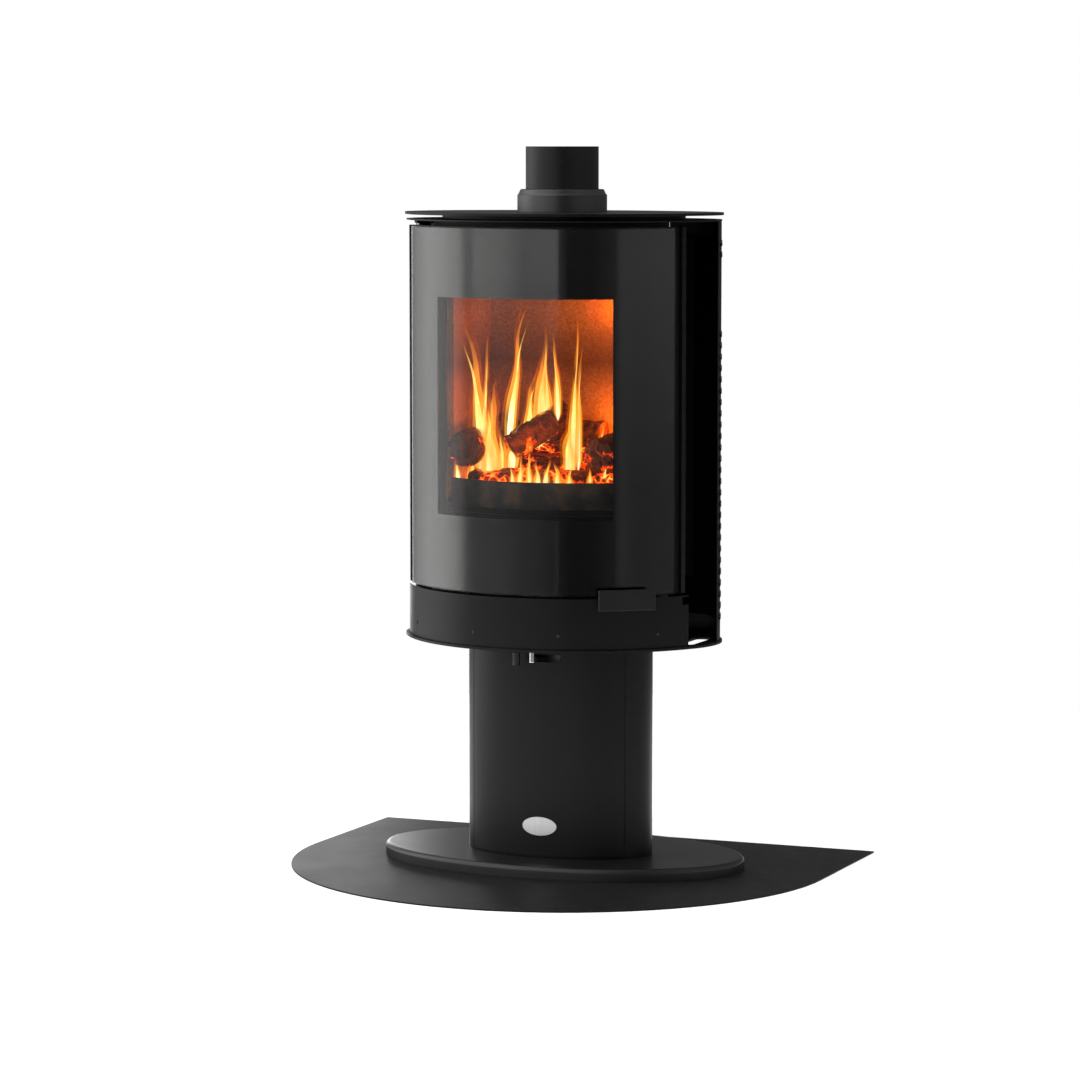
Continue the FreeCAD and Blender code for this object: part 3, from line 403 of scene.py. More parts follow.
# %% Bare metals
def bare_metal(name, colour, roughness, streak=0.12, scale=400.0, spangle=0.0):
    made, tree, shader = finish(name)
    lines = placed(tree, brush_group, Scale=scale).outputs["Streak"]
    dark = [c * (1.0 - streak) for c in colour[:3]]
    shade = ramp(tree, lines, [(0.3, tuple(dark)), (0.7, tuple(colour[:3]))])
    if spangle:
        crystal = node(tree, "ShaderNodeTexVoronoi", Vector=stretched(tree, (1, 1, 1)), Scale=130.0)
        grey = ramp(tree, crystal.outputs["Distance"], [(0.0, 1.0 - spangle), (1.0, 1.0)])
        shade = mixed(tree, 1.0, shade, grey, "MULTIPLY")
    wire(tree, shader, "Base Color", shade)
    wire(tree, shader, "Metallic", 1.0)
    wire(tree, shader, "Roughness", maths(tree, "MULTIPLY_ADD", lines, streak, roughness))
    bumped(tree, shader, lines, 0.15, 0.0002)
    return made


bare_metal("zinc_steel", rgb(0.62, 0.60, 0.54), 0.34)
bare_metal("bright_steel", rgb(0.62, 0.62, 0.62), 0.24)
bare_metal("galvanised_steel", rgb(0.55, 0.56, 0.58), 0.38, spangle=0.35)
bare_metal("dark_screw", rgb(0.06, 0.06, 0.062), 0.38, streak=0.3)
bare_metal("chrome_knob", rgb(0.86, 0.86, 0.87), 0.09, streak=0.05)
bare_metal("dark_knob", rgb(0.045, 0.045, 0.048), 0.30, streak=0.3)
print("finishes so far", len(finishes))

# %% [markdown]
# ### Glass and its printed border
# The door pane is clear ceramic glass. Its front and its back face both mirror the room, which a closed
# pane with a true thickness does by itself, and a faint film of ash dulls it in places. The index is
# that of a pane with a thin coat, lower than bare glass. Behind it a glossy black enamel is printed on
# everything but the window, and it adds its own share to the mirrored room.

# %% Glass and print
glass, glass_tree, glass_shader = finish("stove_glass")
wire(glass_tree, glass_shader, "Base Color", rgb(0.93, 0.93, 0.92))
wire(glass_tree, glass_shader, "Transmission Weight", 1.0)
wire(glass_tree, glass_shader, "IOR", 1.27)
film = speckle(glass_tree, 9.0, 6.0, (1.0, 1.0, 0.4))
wire(glass_tree, glass_shader, "Roughness", maths(glass_tree, "MULTIPLY", film, 0.01))

enamel, enamel_tree, enamel_shader = finish("door_print")
fired = speckle(enamel_tree, 700.0, 2.0)
wire(enamel_tree, enamel_shader, "Base Color", ramp(enamel_tree, fired, [(0.3, 0.002), (0.7, 0.004)]))
wire(enamel_tree, enamel_shader, "Roughness", maths(enamel_tree, "MULTIPLY_ADD", fired, 0.02, 0.01))
wire(enamel_tree, enamel_shader, "Specular IOR Level", 0.66)
print("glass and print done")

# %% [markdown]
# ### Vermiculite, rope and cast iron
# The fire box is lined with pressed vermiculite: tan board full of golden flakes, scorched dark in
# places and sooty near the top. Braided glass rope seals the door. The grate and the log guard are raw
# cast iron with rust and ash in the pores.

# %% Vermiculite
board, board_tree, board_shader = finish("vermiculite")
board_place = stretched(board_tree, (1.0, 1.0, 1.0))
flakes = node(board_tree, "ShaderNodeTexVoronoi", Vector=board_place, Scale=260.0)
flake_tone = ramp(board_tree, flakes.outputs["Color"],
                  [(0.0, (0.34, 0.17, 0.055)), (0.5, (0.46, 0.25, 0.09)), (1.0, (0.58, 0.35, 0.15))])
scorch_noise = speckle(board_tree, 8.0, 6.0)
scorch = ramp(board_tree, scorch_noise, [(0.42, 0.0), (0.78, 0.25)])
board_soot = placed(board_tree, soot_group, From_Height=0.98, To_Height=1.12, Amount=0.35)
board_tone = mixed(board_tree, scorch, flake_tone, rgb(0.22, 0.13, 0.08))
board_tone = mixed(board_tree, board_soot.outputs["Mask"], board_tone, rgb(0.03, 0.025, 0.02))
# A ragged dark band half-way up, between the reach of the embers and the flame tips, is painted shadow of the
# flames and logs on the walls.
board_height = height_of(board_tree)
ragged_height = maths(board_tree, "MULTIPLY_ADD", scorch_noise, 0.03, board_height)
flame_shadow_band = ramp(board_tree, remap(board_tree, ragged_height, 0.85, 1.10),
                  [(0.08, 0.0), (0.30, 0.35), (0.52, 0.80), (0.70, 0.55), (0.90, 0.0)])
board_tone = mixed(board_tree, flame_shadow_band, board_tone, rgb(0.05, 0.022, 0.008))
# The boards turn almost black from 0.725 m down to 0.702 m, on the floor slabs and the feet of the walls.
floor_darkening = remap(board_tree, board_height, 0.725, 0.702)
board_tone = mixed(board_tree, floor_darkening, board_tone, rgb(0.012, 0.010, 0.009))
wire(board_tree, board_shader, "Base Color", board_tone)
wire(board_tree, board_shader, "Roughness",
     maths(board_tree, "MULTIPLY_ADD", flakes.outputs["Distance"], 0.2, 0.78))
bumped(board_tree, board_shader, flakes.outputs["Distance"], 0.35, 0.001)

# %% Rope
rope, rope_tree, rope_shader = finish("glass_rope")
rope_place = stretched(rope_tree, (1.0, 1.0, 1.0))
strand_a = node(rope_tree, "ShaderNodeTexWave", Vector=rope_place, Scale=55.0, Distortion=1.5, Detail=2.0)
strand_b = node(rope_tree, "ShaderNodeTexVoronoi", Vector=rope_place, Scale=330.0)
braid = maths(rope_tree, "MULTIPLY_ADD", strand_b.outputs["Distance"], 0.6, strand_a.outputs["Fac"])
wire(rope_tree, rope_shader, "Base Color",
     ramp(rope_tree, braid, [(0.1, 0.004), (0.6, (0.012, 0.012, 0.011)), (1.0, (0.030, 0.029, 0.027))]))
wire(rope_tree, rope_shader, "Roughness", maths(rope_tree, "MULTIPLY_ADD", braid, 0.05, 0.85))
bumped(rope_tree, rope_shader, braid, 0.6, 0.0015)

# %% Cast iron
iron, iron_tree, iron_shader = finish("grate_iron")
pores = speckle(iron_tree, 240.0, 6.0)
rust = speckle(iron_tree, 22.0, 8.0)
iron_tone = mixed(iron_tree, ramp(iron_tree, rust, [(0.45, 0.0), (0.68, 0.7)]),
                  rgb(0.035, 0.032, 0.030), rgb(0.11, 0.05, 0.025))
iron_ash = placed(iron_tree, dust_group, Amount=0.7).outputs["Mask"]
wire(iron_tree, iron_shader, "Base Color", mixed(iron_tree, iron_ash, iron_tone, rgb(0.34, 0.32, 0.30)))
wire(iron_tree, iron_shader, "Roughness", maths(iron_tree, "MULTIPLY_ADD", pores, 0.25, 0.55))
wire(iron_tree, iron_shader, "Metallic", ramp(iron_tree, rust, [(0.4, 0.5), (0.6, 0.1)]))
bumped(iron_tree, iron_shader, pores, 0.4, 0.001)
print("finishes so far", len(finishes))

# %% [markdown]
# ### Charcoal, embers and flame
# A burning log is black charcoal, split into blocks by drying cracks. Deep cracks glow from orange to
# yellow, and pale ash lies on top. The bed of embers is the same stuff, much hotter. Flames have no
# surface of their own: each is drawn as nested closed tongues, where every vertex carries how far up
# the tongue it is, and the colour and the transparency follow that value.

# %% Charcoal and embers
char_group, c_in, c_out = effect(
    "charred_blocks", [("Scale", FLOAT, 30.0), ("Stretch", FLOAT, 1.0)], [("Crack", FLOAT), ("Block", FLOAT)])
c_warp = node(char_group, "ShaderNodeTexNoise", Vector=stretched(char_group, (1, 1, 1)), Scale=14.0, Detail=5.0)
c_shift = char_group.nodes.new("ShaderNodeVectorMath")
c_shift.operation = "MULTIPLY_ADD"
wire(char_group, c_shift, 0, c_warp.outputs["Color"])
wire(char_group, c_shift, 1, (0.035, 0.035, 0.035))
wire(char_group, c_shift, 2, stretched(char_group, (1, 1, 1)))
c_cells = node(char_group, "ShaderNodeTexVoronoi", Vector=c_shift.outputs[0], Scale=c_in["Scale"])
c_cells.feature = "DISTANCE_TO_EDGE"
c_blocks = node(char_group, "ShaderNodeTexVoronoi", Vector=c_shift.outputs[0], Scale=c_in["Scale"])
wire(char_group, c_out, "Crack", remap(char_group, c_cells.outputs["Distance"], 0.0, 0.16, 1.0, 0.0))
wire(char_group, c_out, "Block", c_blocks.outputs["Distance"])


def charcoal(name, cell, glow, heat, body_dark, body_light, ash):
    """Cracked charcoal; glow is how far the heat reaches, heat its brightness."""
    made, tree, shader = finish(name)
    cracks = placed(tree, char_group, Scale=cell)
    low = remap(tree, height_of(tree), 0.70, 0.87, 0.20, -0.10)
    hot = remap(tree, maths(tree, "ADD", speckle(tree, 27.0, 5.0), low), 0.62 - glow, 0.86 - glow)
    seam = maths(tree, "MULTIPLY", cracks.outputs["Crack"], hot)
    seam = maths(tree, "MULTIPLY_ADD", hot, 0.30, seam)
    fire = ramp(tree, seam, [(0.10, (0.0, 0.0, 0.0)), (0.35, (0.55, 0.02, 0.0)), (0.70, (1.0, 0.16, 0.005)),
                             (1.0, (1.0, 0.55, 0.10))])
    tone = ramp(tree, cracks.outputs["Block"], [(0.1, body_dark), (0.9, body_light)])
    settled = placed(tree, dust_group, Amount=ash).outputs["Mask"]
    wire(tree, shader, "Base Color", mixed(tree, settled, tone, rgb(0.30, 0.27, 0.24)))
    wire(tree, shader, "Roughness", maths(tree, "MULTIPLY_ADD", cracks.outputs["Block"], 0.2, 0.7))
    wire(tree, shader, "Emission Color", fire)
    wire(tree, shader, "Emission Strength", heat)
    relief = maths(tree, "MULTIPLY_ADD", cracks.outputs["Crack"], -0.7, cracks.outputs["Block"])
    bumped(tree, shader, relief, 0.8, 0.004)
    made.cycles.emission_sampling = "NONE"
    return made


charcoal("firewood", 70.0, 0.07, 2.6, (0.020, 0.008, 0.006), (0.15, 0.055, 0.025), 0.15)
charcoal("ember_bed", 60.0, 0.30, 7.0, (0.030, 0.012, 0.008), (0.10, 0.05, 0.03), 0.20)
charcoal("log_end", 70.0, 0.02, 2.2, (0.08, 0.022, 0.010), (0.26, 0.07, 0.025), 0.0)

# %% Flame
def flame_finish(name, low_colour, mid_colour, tip_colour, strength, density, torn):
    """Colour and transparency of one layer of a tongue, from the value 'up' of each vertex; torn opens gaps."""
    made, tree, shader = finish(name)
    up = tree.nodes.new("ShaderNodeAttribute")
    up.attribute_name = "up"
    wire(tree, shader, "Base Color", rgb(0.0, 0.0, 0.0))
    wire(tree, shader, "Roughness", 1.0)
    wire(tree, shader, "Specular IOR Level", 0.0)
    wire(tree, shader, "Emission Color",
         ramp(tree, up.outputs["Fac"], [(0.0, low_colour), (0.45, mid_colour), (1.0, tip_colour)]))
    wire(tree, shader, "Emission Strength", strength)
    body = ramp(tree, up.outputs["Fac"], [(0.0, 0.0), (0.10, 1.0), (0.55, 0.85), (1.0, 0.0)])
    wisps = remap(tree, speckle(tree, 46.0, 3.0, (1.0, 1.0, 0.22)), torn, torn + 0.24)
    veil = maths(tree, "MULTIPLY", body, wisps)
    wire(tree, shader, "Alpha", maths(tree, "MULTIPLY", veil, density))
    made.cycles.emission_sampling = "NONE"
    return made


flame_finish("flame_outer", (1.0, 0.22, 0.01), (1.0, 0.16, 0.004), (0.85, 0.09, 0.0), 1.3, 0.24, 0.36)
flame_finish("flame_middle", (1.0, 0.54, 0.07), (1.0, 0.40, 0.03), (1.0, 0.24, 0.01), 1.5, 0.62, 0.32)
flame_finish("flame_core", (1.0, 0.93, 0.66), (1.0, 0.74, 0.22), (1.0, 0.48, 0.06), 2.1, 0.95, 0.24)
print("all finishes", len(finishes))

# %% [markdown]
# ## Modelling helpers
# Sizes are in metres, as Blender counts, but a stove maker thinks in millimetres, so MM turns one into
# the other. All the front pieces bend round one upright axis, the front arc. A band that follows it is
# one small upright face spun about that axis, which is what a sheet roller does with a strip of steel.

# %% Places and helpers
MM = 0.001
arc_axis = Vector((0.0, 92 * MM, 0.0))


def on_arc(radius, angle, z=0.0):
    """A point on the front arc in mm and degrees: 0 is the middle of the door, positive towards +X."""
    a = math.radians(angle)
    return arc_axis + Vector((radius * MM * math.sin(a), -radius * MM * math.cos(a), z * MM))


def soften(bm, width, segments=2, sharpest=32.0):
    """Bevels every edge that turns by more than the angle, as deburring does."""
    edges = [e for e in bm.edges if len(e.link_faces) == 2 and e.calc_face_angle(0.0) > math.radians(sharpest)]
    bmesh.ops.bevel(bm, geom=edges, offset=width * MM, offset_type="OFFSET", affect="EDGES", segments=segments,
                    profile=0.5, material=-1, clamp_overlap=True)


def as_piece(name, bm, body, finish_name, stands_for=(), crease=34.0):
    """Turns a bmesh into a finished piece: shading, material, body and the CAD nodes it stands for."""
    limit = math.radians(crease)
    for edge in bm.edges:
        edge.smooth = len(edge.link_faces) == 2 and edge.calc_face_angle(0.0) < limit
    for face in bm.faces:
        face.smooth = True
    mesh = bpy.data.meshes.new(name)
    bm.to_mesh(mesh)
    bm.free()
    piece = bpy.data.objects.new(name, mesh)
    bpy.context.scene.collection.objects.link(piece)
    mesh.materials.append(finishes[finish_name])
    even = piece.modifiers.new("even_shading", "WEIGHTED_NORMAL")
    even.keep_sharp = True
    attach(piece, body)
    if stands_for:
        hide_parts(*stands_for)
    low = [min(v.co[i] for v in mesh.vertices) for i in range(3)]
    high = [max(v.co[i] for v in mesh.vertices) for i in range(3)]
    note = ""
    for n in stands_for[:1]:
        if len(stands_for) == 1:
            cad_low, cad_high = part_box(n)
            gap = max(max(abs(low[i] - cad_low[i]), abs(high[i] - cad_high[i])) for i in range(3))
            note = f"  off CAD by {gap / MM:.2f} mm"
    print(f"{name}: {len(mesh.polygons)} faces{note}")
    return piece


def spin_profile(bm, profile, angle_from, angle_to, steps, axis_at=arc_axis):
    """Spins a closed profile of (radius, z) points, in mm, about an upright axis; a full turn is merged."""
    full = abs(angle_to - angle_from) > 359.9
    a = math.radians(angle_from)
    outward = Vector((math.sin(a), -math.cos(a), 0.0))
    corners = [bm.verts.new(axis_at + outward * (r * MM) + Vector((0.0, 0.0, z * MM))) for r, z in profile]
    face = bm.faces.new(corners)
    if full:
        edges = list(face.edges)
        bmesh.ops.delete(bm, geom=[face], context="FACES_ONLY")
        geom = corners + edges
    else:
        geom = corners + list(face.edges) + [face]
    bmesh.ops.spin(bm, geom=geom, cent=axis_at, axis=(0.0, 0.0, 1.0), angle=math.radians(angle_to - angle_from),
                   steps=steps, use_merge=full, use_duplicate=False)
    bmesh.ops.remove_doubles(bm, verts=bm.verts, dist=1e-6)
    bmesh.ops.recalc_face_normals(bm, faces=bm.faces)


def merge(bm, part):
    """Adds a finished bmesh to another one and frees it."""
    held = bpy.data.meshes.new("held")
    part.to_mesh(held)
    part.free()
    bm.from_mesh(held)
    bpy.data.meshes.remove(held)


def band(bm, r_in, r_out, z0, z1, angle_from, angle_to, steps=48):
    """A rolled strip that follows the front arc."""
    part = bmesh.new()
    spin_profile(part, [(r_in, z0), (r_out, z0), (r_out, z1), (r_in, z1)], angle_from, angle_to, steps)
    merge(bm, part)


print("helpers ready")

# %% [markdown]
# ## Carried-over CAD pieces
# Most sheet and plate parts are already right in shape, but their meshes are loose triangles with
# razor edges. Modifiers finish them without touching the mesh: Weld joins the triangles, Decimate
# merges the flat ones, and Bevel breaks every edge, so that it catches light. Weighted Normal then
# lets the large faces set the shading, which keeps flat and rolled sheets free of smudges.

# %% Which finish each CAD piece takes
cad_finishes = {
    "black_steel": ("pedestal_column", "bottom_plate", "top_cover", "top_spacer", "top_plate", "latch_catch",
                    "pedestal_front_cover", "handle_lever"),
    "casing_steel": ("side_panel_left", "side_panel_right", "rear_panel"),
    "door_steel": ("door_frame", "hinge_brackets"),
    "stove_steel": ("firebox_shell", "firebox_front", "body_supports", "air_box", "fire_shelf",
                    "baffle_brackets", "ash_pan_runners", "primary_damper", "start_air_damper",
                    "flue_spigot"),
    "flue_casting": ("flue_collar",),
    "floor_steel": ("floor_plate",),
    "flue_steel": ("flue_pipe",),
    "zinc_steel": ("ash_pan", "shield_spacers", "column_bolts", "foot_bolts", "cover_clips"),
    "galvanised_steel": ("heat_shield", "fresh_air_pipe", "fresh_air_spigot"),
    "bright_steel": ("primary_air_lever", "start_air_lever", "hinge_pins", "badge_plate"),
    "dark_screw": ("skirt_screws",),
    "vermiculite": ("lining_left", "lining_right", "lining_back_lower", "lining_back_upper", "lining_floor",
                    "baffle_lower", "baffle_upper"),
    "grate_iron": ("grate", "log_guard", "air_wash_strip"),
    "chrome_knob": ("primary_air_knob",),
    "dark_knob": ("start_air_knob",),
    "handle_steel": ("door_handle",),
}


def dress(node_name, finish_name, edge=0.5):
    """Gives a CAD node its finish, joined triangles and broken edges."""
    cad = nodes[node_name]
    cad.data.materials.clear()
    cad.data.materials.append(finishes[finish_name])
    for face in cad.data.polygons:
        face.use_smooth = True
    weld = cad.modifiers.new("join", "WELD")
    weld.merge_threshold = 2e-6
    flat = cad.modifiers.new("flatten", "DECIMATE")
    flat.decimate_type = "DISSOLVE"
    flat.angle_limit = math.radians(0.3)
    if edge:
        broken = cad.modifiers.new("break_edges", "BEVEL")
        broken.width = edge * MM
        broken.segments = 2
        broken.limit_method = "ANGLE"
        broken.angle_limit = math.radians(35)
        broken.use_clamp_overlap = True
        even = cad.modifiers.new("even_shading", "WEIGHTED_NORMAL")
        even.weight = 90
        even.keep_sharp = True


for finish_name, members in cad_finishes.items():
    for member in members:
        dress(member, finish_name)
print("dressed", sum(len(m) for m in cad_finishes.values()), "of", len(nodes))

# %% [markdown]
# ## Curved glass door
# The pane is one sheet bent to the front arc, 4.5 mm thick, with ground edges. Spinning a thin upright
# rectangle gives it the exact bend, in steps fine enough that reflections run smoothly across it.

# %% Glass pane
glass_z0, glass_z1 = 544.0, 1227.0
glass_angle = 54.6
glass_inner, glass_outer = 327.5, 332.0
bm = bmesh.new()
band(bm, glass_inner, glass_outer, glass_z0, glass_z1, -glass_angle, glass_angle, steps=110)
soften(bm, 0.7, segments=3)
as_piece("glass_pane", bm, "door", "stove_glass", ("door_glass",))

# %% [markdown]
# ### Printed border
# The enamel covers the back of the pane down to the rectangle of the window. Four thin bands that meet
# edge to edge leave the window open.

# %% Printed border
window_z0, window_z1 = 686.0, 1096.0
window_half = 177.0
print_inner, print_outer = 327.15, 327.4
window_angle = math.degrees(math.asin(window_half / print_inner))
bm = bmesh.new()
band(bm, print_inner, print_outer, glass_z0 + 2, window_z0, -glass_angle + 0.3, glass_angle - 0.3, steps=90)
band(bm, print_inner, print_outer, window_z1, glass_z1 - 2, -glass_angle + 0.3, glass_angle - 0.3, steps=90)
band(bm, print_inner, print_outer, window_z0, window_z1, -glass_angle + 0.3, -window_angle, steps=20)
band(bm, print_inner, print_outer, window_z0, window_z1, window_angle, glass_angle - 0.3, steps=20)
as_piece("glass_print", bm, "door", "door_print")

# %% [markdown]
# ### Tape and rope seals
# Between the pane and the door frame lies a flat woven tape, which four short bands make. The door
# itself shuts against a braided glass rope in a rectangle behind the frame. Two strands that wind round
# each other look like rope only if they really do, so both are drawn as curves that follow a helix
# along the rectangle, bent to the front arc, and turned into meshes.

# %% Woven tape behind the pane
tape_inner, tape_outer = 324.1, 327.0
tape_width = 12.0
tape_setback = 7.0
tape_angle = math.degrees(math.asin((window_half + tape_setback) / tape_inner))
tape_out_angle = math.degrees(math.asin((window_half + tape_width + tape_setback) / tape_inner))
tape_z0, tape_z1 = window_z0 - tape_setback, window_z1 + tape_setback
bm = bmesh.new()
band(bm, tape_inner, tape_outer, tape_z0 - tape_width, tape_z0, -tape_out_angle, tape_out_angle, steps=60)
band(bm, tape_inner, tape_outer, tape_z1, tape_z1 + tape_width, -tape_out_angle, tape_out_angle, steps=60)
band(bm, tape_inner, tape_outer, tape_z0, tape_z1, -tape_out_angle, -tape_angle, steps=6)
band(bm, tape_inner, tape_outer, tape_z0, tape_z1, tape_angle, tape_out_angle, steps=6)
soften(bm, 0.5)
as_piece("glass_tape", bm, "door", "glass_rope", ("glass_gasket",))

# %% Rope seal of the door
rope_half, rope_z0, rope_z1 = 208.0, 584.0, 1122.0
rope_radius, strand_radius, rope_pitch = 297.0, 3.3, 26.0


def rope_route():
    """Places along the seal in mm, a little apart, as (sideways on the arc, z)."""
    corner = 14.0
    route = []
    # Start and end of each straight leg, the angle at which its corner begins, and where that corner is.
    legs = (((-rope_half + corner, rope_z0), (rope_half - corner, rope_z0), -90, 1, -1),
            ((rope_half, rope_z0 + corner), (rope_half, rope_z1 - corner), 0, 1, 1),
            ((rope_half - corner, rope_z1), (-rope_half + corner, rope_z1), 90, -1, 1),
            ((-rope_half, rope_z1 - corner), (-rope_half, rope_z0 + corner), 180, -1, -1))
    for (x0, z0), (x1, z1), first, side, up in legs:
        count = int(math.hypot(x1 - x0, z1 - z0) / 2.6)
        route += [(x0 + (x1 - x0) * i / count, z0 + (z1 - z0) * i / count) for i in range(count + 1)]
        cx, cz = side * (rope_half - corner), (rope_z1 - corner if up > 0 else rope_z0 + corner)
        for i in range(1, 9):
            a = math.radians(first + 10 * i)
            route.append((cx + corner * math.cos(a), cz + corner * math.sin(a)))
    return route


route = rope_route()
strands = []
for phase in (0.0, math.pi):
    curve = bpy.data.curves.new("strand", "CURVE")
    curve.dimensions = "3D"
    curve.bevel_depth = strand_radius * MM
    curve.bevel_resolution = 1
    line = curve.splines.new("POLY")
    line.points.add(len(route) - 1)
    line.use_cyclic_u = True
    run = 0.0
    total = sum(math.dist(route[i], route[i - 1]) for i in range(len(route)))
    turns = round(total / rope_pitch)
    for i, (x, z) in enumerate(route):
        run += math.dist(route[i], route[i - 1])
        wind = 2 * math.pi * turns * run / total + phase
        ahead = route[(i + 1) % len(route)]
        along = Vector((ahead[0] - route[i - 1][0], ahead[1] - route[i - 1][1])).normalized()
        sideways = 2.5 * math.cos(wind)
        x2, z2 = x - along.y * sideways, z + along.x * sideways
        angle = math.degrees(math.asin(x2 / rope_radius))
        line.points[i].co = (*on_arc(rope_radius + 2.5 * math.sin(wind), angle, z2), 1.0)
    held = bpy.data.objects.new("strand", curve)
    strands.append(bpy.data.meshes.new_from_object(held))
    bpy.data.objects.remove(held)
bm = bmesh.new()
for strand in strands:
    bm.from_mesh(strand)
bmesh.ops.recalc_face_normals(bm, faces=bm.faces)
as_piece("door_rope", bm, "door", "glass_rope", ("door_seal",), crease=80.0)
print("rope of", len(route), "places,", turns, "turns")

# %% [markdown]
# ## Vent louvres
# The slots of the casing are pressed louvres: each slot has a small hood outside it, closed above and
# open below, so hot air gets out and nobody looks in. One hood is a few faces, a slanted cap with a
# rounded top, and it is repeated in front of every slot, turned about the corner of the casing. A thin
# black sheet behind the slots is painted shade: it keeps light from the far side out, so the slots stay dark.

# %% Louvre hoods
corner_axis = on_arc(186.0, 62.0)
casing_radius = 148.0
hood_reach, hood_half, hood_top, hood_foot, hood_t = 0.7, 22.0, 8.5, -2.5, 0.3
vent_angles = (18.0, 40.0, 62.0, 84.0)
# Radius and height of the black sheet of painted shade behind the slots.
shade_sheet_radius, shade_sheet_z0, shade_sheet_z1 = 145.6, 480.0, 1208.0
vent_rows = [484.0 + 21.5 * row for row in range(34) if not 1036.0 < 484.0 + 21.5 * row < 1152.0]


def hood(bm, angle, z, mirror):
    """One louvre hood over the slot whose lower edge is at z."""
    profile = [(-0.2, hood_top), (hood_reach * 0.55, hood_top - 1.6), (hood_reach, hood_top - 5.0),
               (hood_reach, hood_foot), (hood_reach - hood_t, hood_foot), (hood_reach - hood_t, hood_top - 5.4),
               (hood_reach * 0.4, hood_top - 2.4), (-0.2, hood_top - 1.2)]
    corners = [bm.verts.new((r, -hood_half, h)) for r, h in profile]
    face = bm.faces.new(corners)
    pushed = bmesh.ops.extrude_face_region(bm, geom=[face])
    moved = [g for g in pushed["geom"] if isinstance(g, bmesh.types.BMVert)]
    bmesh.ops.translate(bm, verts=moved, vec=(0.0, 2 * hood_half, 0.0))
    cheeks = []
    for y in (-hood_half, hood_half - hood_t):
        ends = [bm.verts.new((r, y, h)) for r, h in ((-0.2, hood_top - 0.6), (hood_reach - 0.3, hood_top - 5.2),
                                                    (hood_reach - 0.3, hood_foot), (-0.2, hood_foot))]
        cheek = bm.faces.new(ends)
        grown = bmesh.ops.extrude_face_region(bm, geom=[cheek])
        shifted = [g for g in grown["geom"] if isinstance(g, bmesh.types.BMVert)]
        bmesh.ops.translate(bm, verts=shifted, vec=(0.0, hood_t, 0.0))
        cheeks += ends + shifted
    verts = corners + moved + cheeks
    bmesh.ops.translate(bm, verts=verts, vec=(casing_radius, 0.0, z))
    bmesh.ops.scale(bm, verts=verts, vec=(MM, MM, MM))
    bmesh.ops.rotate(bm, verts=verts, cent=(0, 0, 0), matrix=Matrix.Rotation(math.radians(angle), 3, "Z"))
    bmesh.ops.translate(bm, verts=verts, vec=corner_axis)
    if mirror:
        bmesh.ops.scale(bm, verts=verts, vec=(-1.0, 1.0, 1.0))


for side_name, mirror in (("right", False), ("left", True)):
    bm = bmesh.new()
    for angle in vent_angles:
        for z in vent_rows:
            hood(bm, angle, z, mirror)
    bmesh.ops.recalc_face_normals(bm, faces=bm.faces)
    as_piece("louvres_" + side_name, bm, "stove", "casing_steel")
    # A thin black sheet behind the slots, painted shade that keeps them dark.
    bm = bmesh.new()
    profile = [(shade_sheet_radius, shade_sheet_z0), (shade_sheet_radius + 0.5, shade_sheet_z0), (shade_sheet_radius + 0.5, shade_sheet_z1),
               (shade_sheet_radius, shade_sheet_z1)]
    spin_profile(bm, profile, vent_angles[0] + 90 - 10, vent_angles[-1] + 90 + 10, 24, corner_axis)
    if mirror:
        bmesh.ops.scale(bm, verts=bm.verts, vec=(-1.0, 1.0, 1.0))
        bmesh.ops.reverse_faces(bm, faces=bm.faces)
    as_piece("vent_shade_sheet_" + side_name, bm, "stove", "vent_shade_black")

# %% [markdown]
# ## Skirt below the door
# A rolled strip under the door hides the pipes. Its section is an L: the upright wall and a narrow lip
# that turns in at the top. The lip is shorter than the wall, and the right end has a notch, so the strip
# is spun in five parts that share their corners.

# %% Skirt
skirt_z0, skirt_z1 = 443.0, 539.0
skirt_inner, skirt_outer, skirt_lip_r = 330.0, 332.0, 316.0
skirt_end, lip_end, notch_end = 60.0, 50.0, 57.5
notch_z0, notch_z1 = 522.0, 537.0
wall = [(skirt_inner, skirt_z0), (skirt_outer, skirt_z0), (skirt_outer, notch_z0), (skirt_outer, notch_z1),
        (skirt_outer, skirt_z1), (skirt_inner, skirt_z1), (skirt_inner, notch_z1), (skirt_inner, notch_z0)]
wall_and_lip = wall[:5] + [(skirt_inner, skirt_z1), (skirt_lip_r, skirt_z1), (skirt_lip_r, notch_z1)] + wall[6:]
below_notch = [wall[0], wall[1], wall[2], wall[7]]
above_notch = [wall[6], wall[3], wall[4], wall[5]]
bm = bmesh.new()
for section, angle_from, angle_to, steps in (
        (wall, -skirt_end, -lip_end, 10), (wall_and_lip, -lip_end, lip_end, 100), (wall, lip_end, notch_end, 8),
        (below_notch, notch_end, skirt_end, 3), (above_notch, notch_end, skirt_end, 3)):
    part = bmesh.new()
    spin_profile(part, section, angle_from, angle_to, steps)
    merge(bm, part)
bmesh.ops.remove_doubles(bm, verts=bm.verts, dist=2e-6)
soften(bm, 0.5)
as_piece("front_skirt_rolled", bm, "stove", "black_steel", ("front_skirt",))

# %% [markdown]
# ## Foot
# The cast foot is an oval plate, hollow below, with a generous round along its upper rim. Its section is
# a list of steps (how far in from the rim, how high), and each step is one oval ring of the mesh.

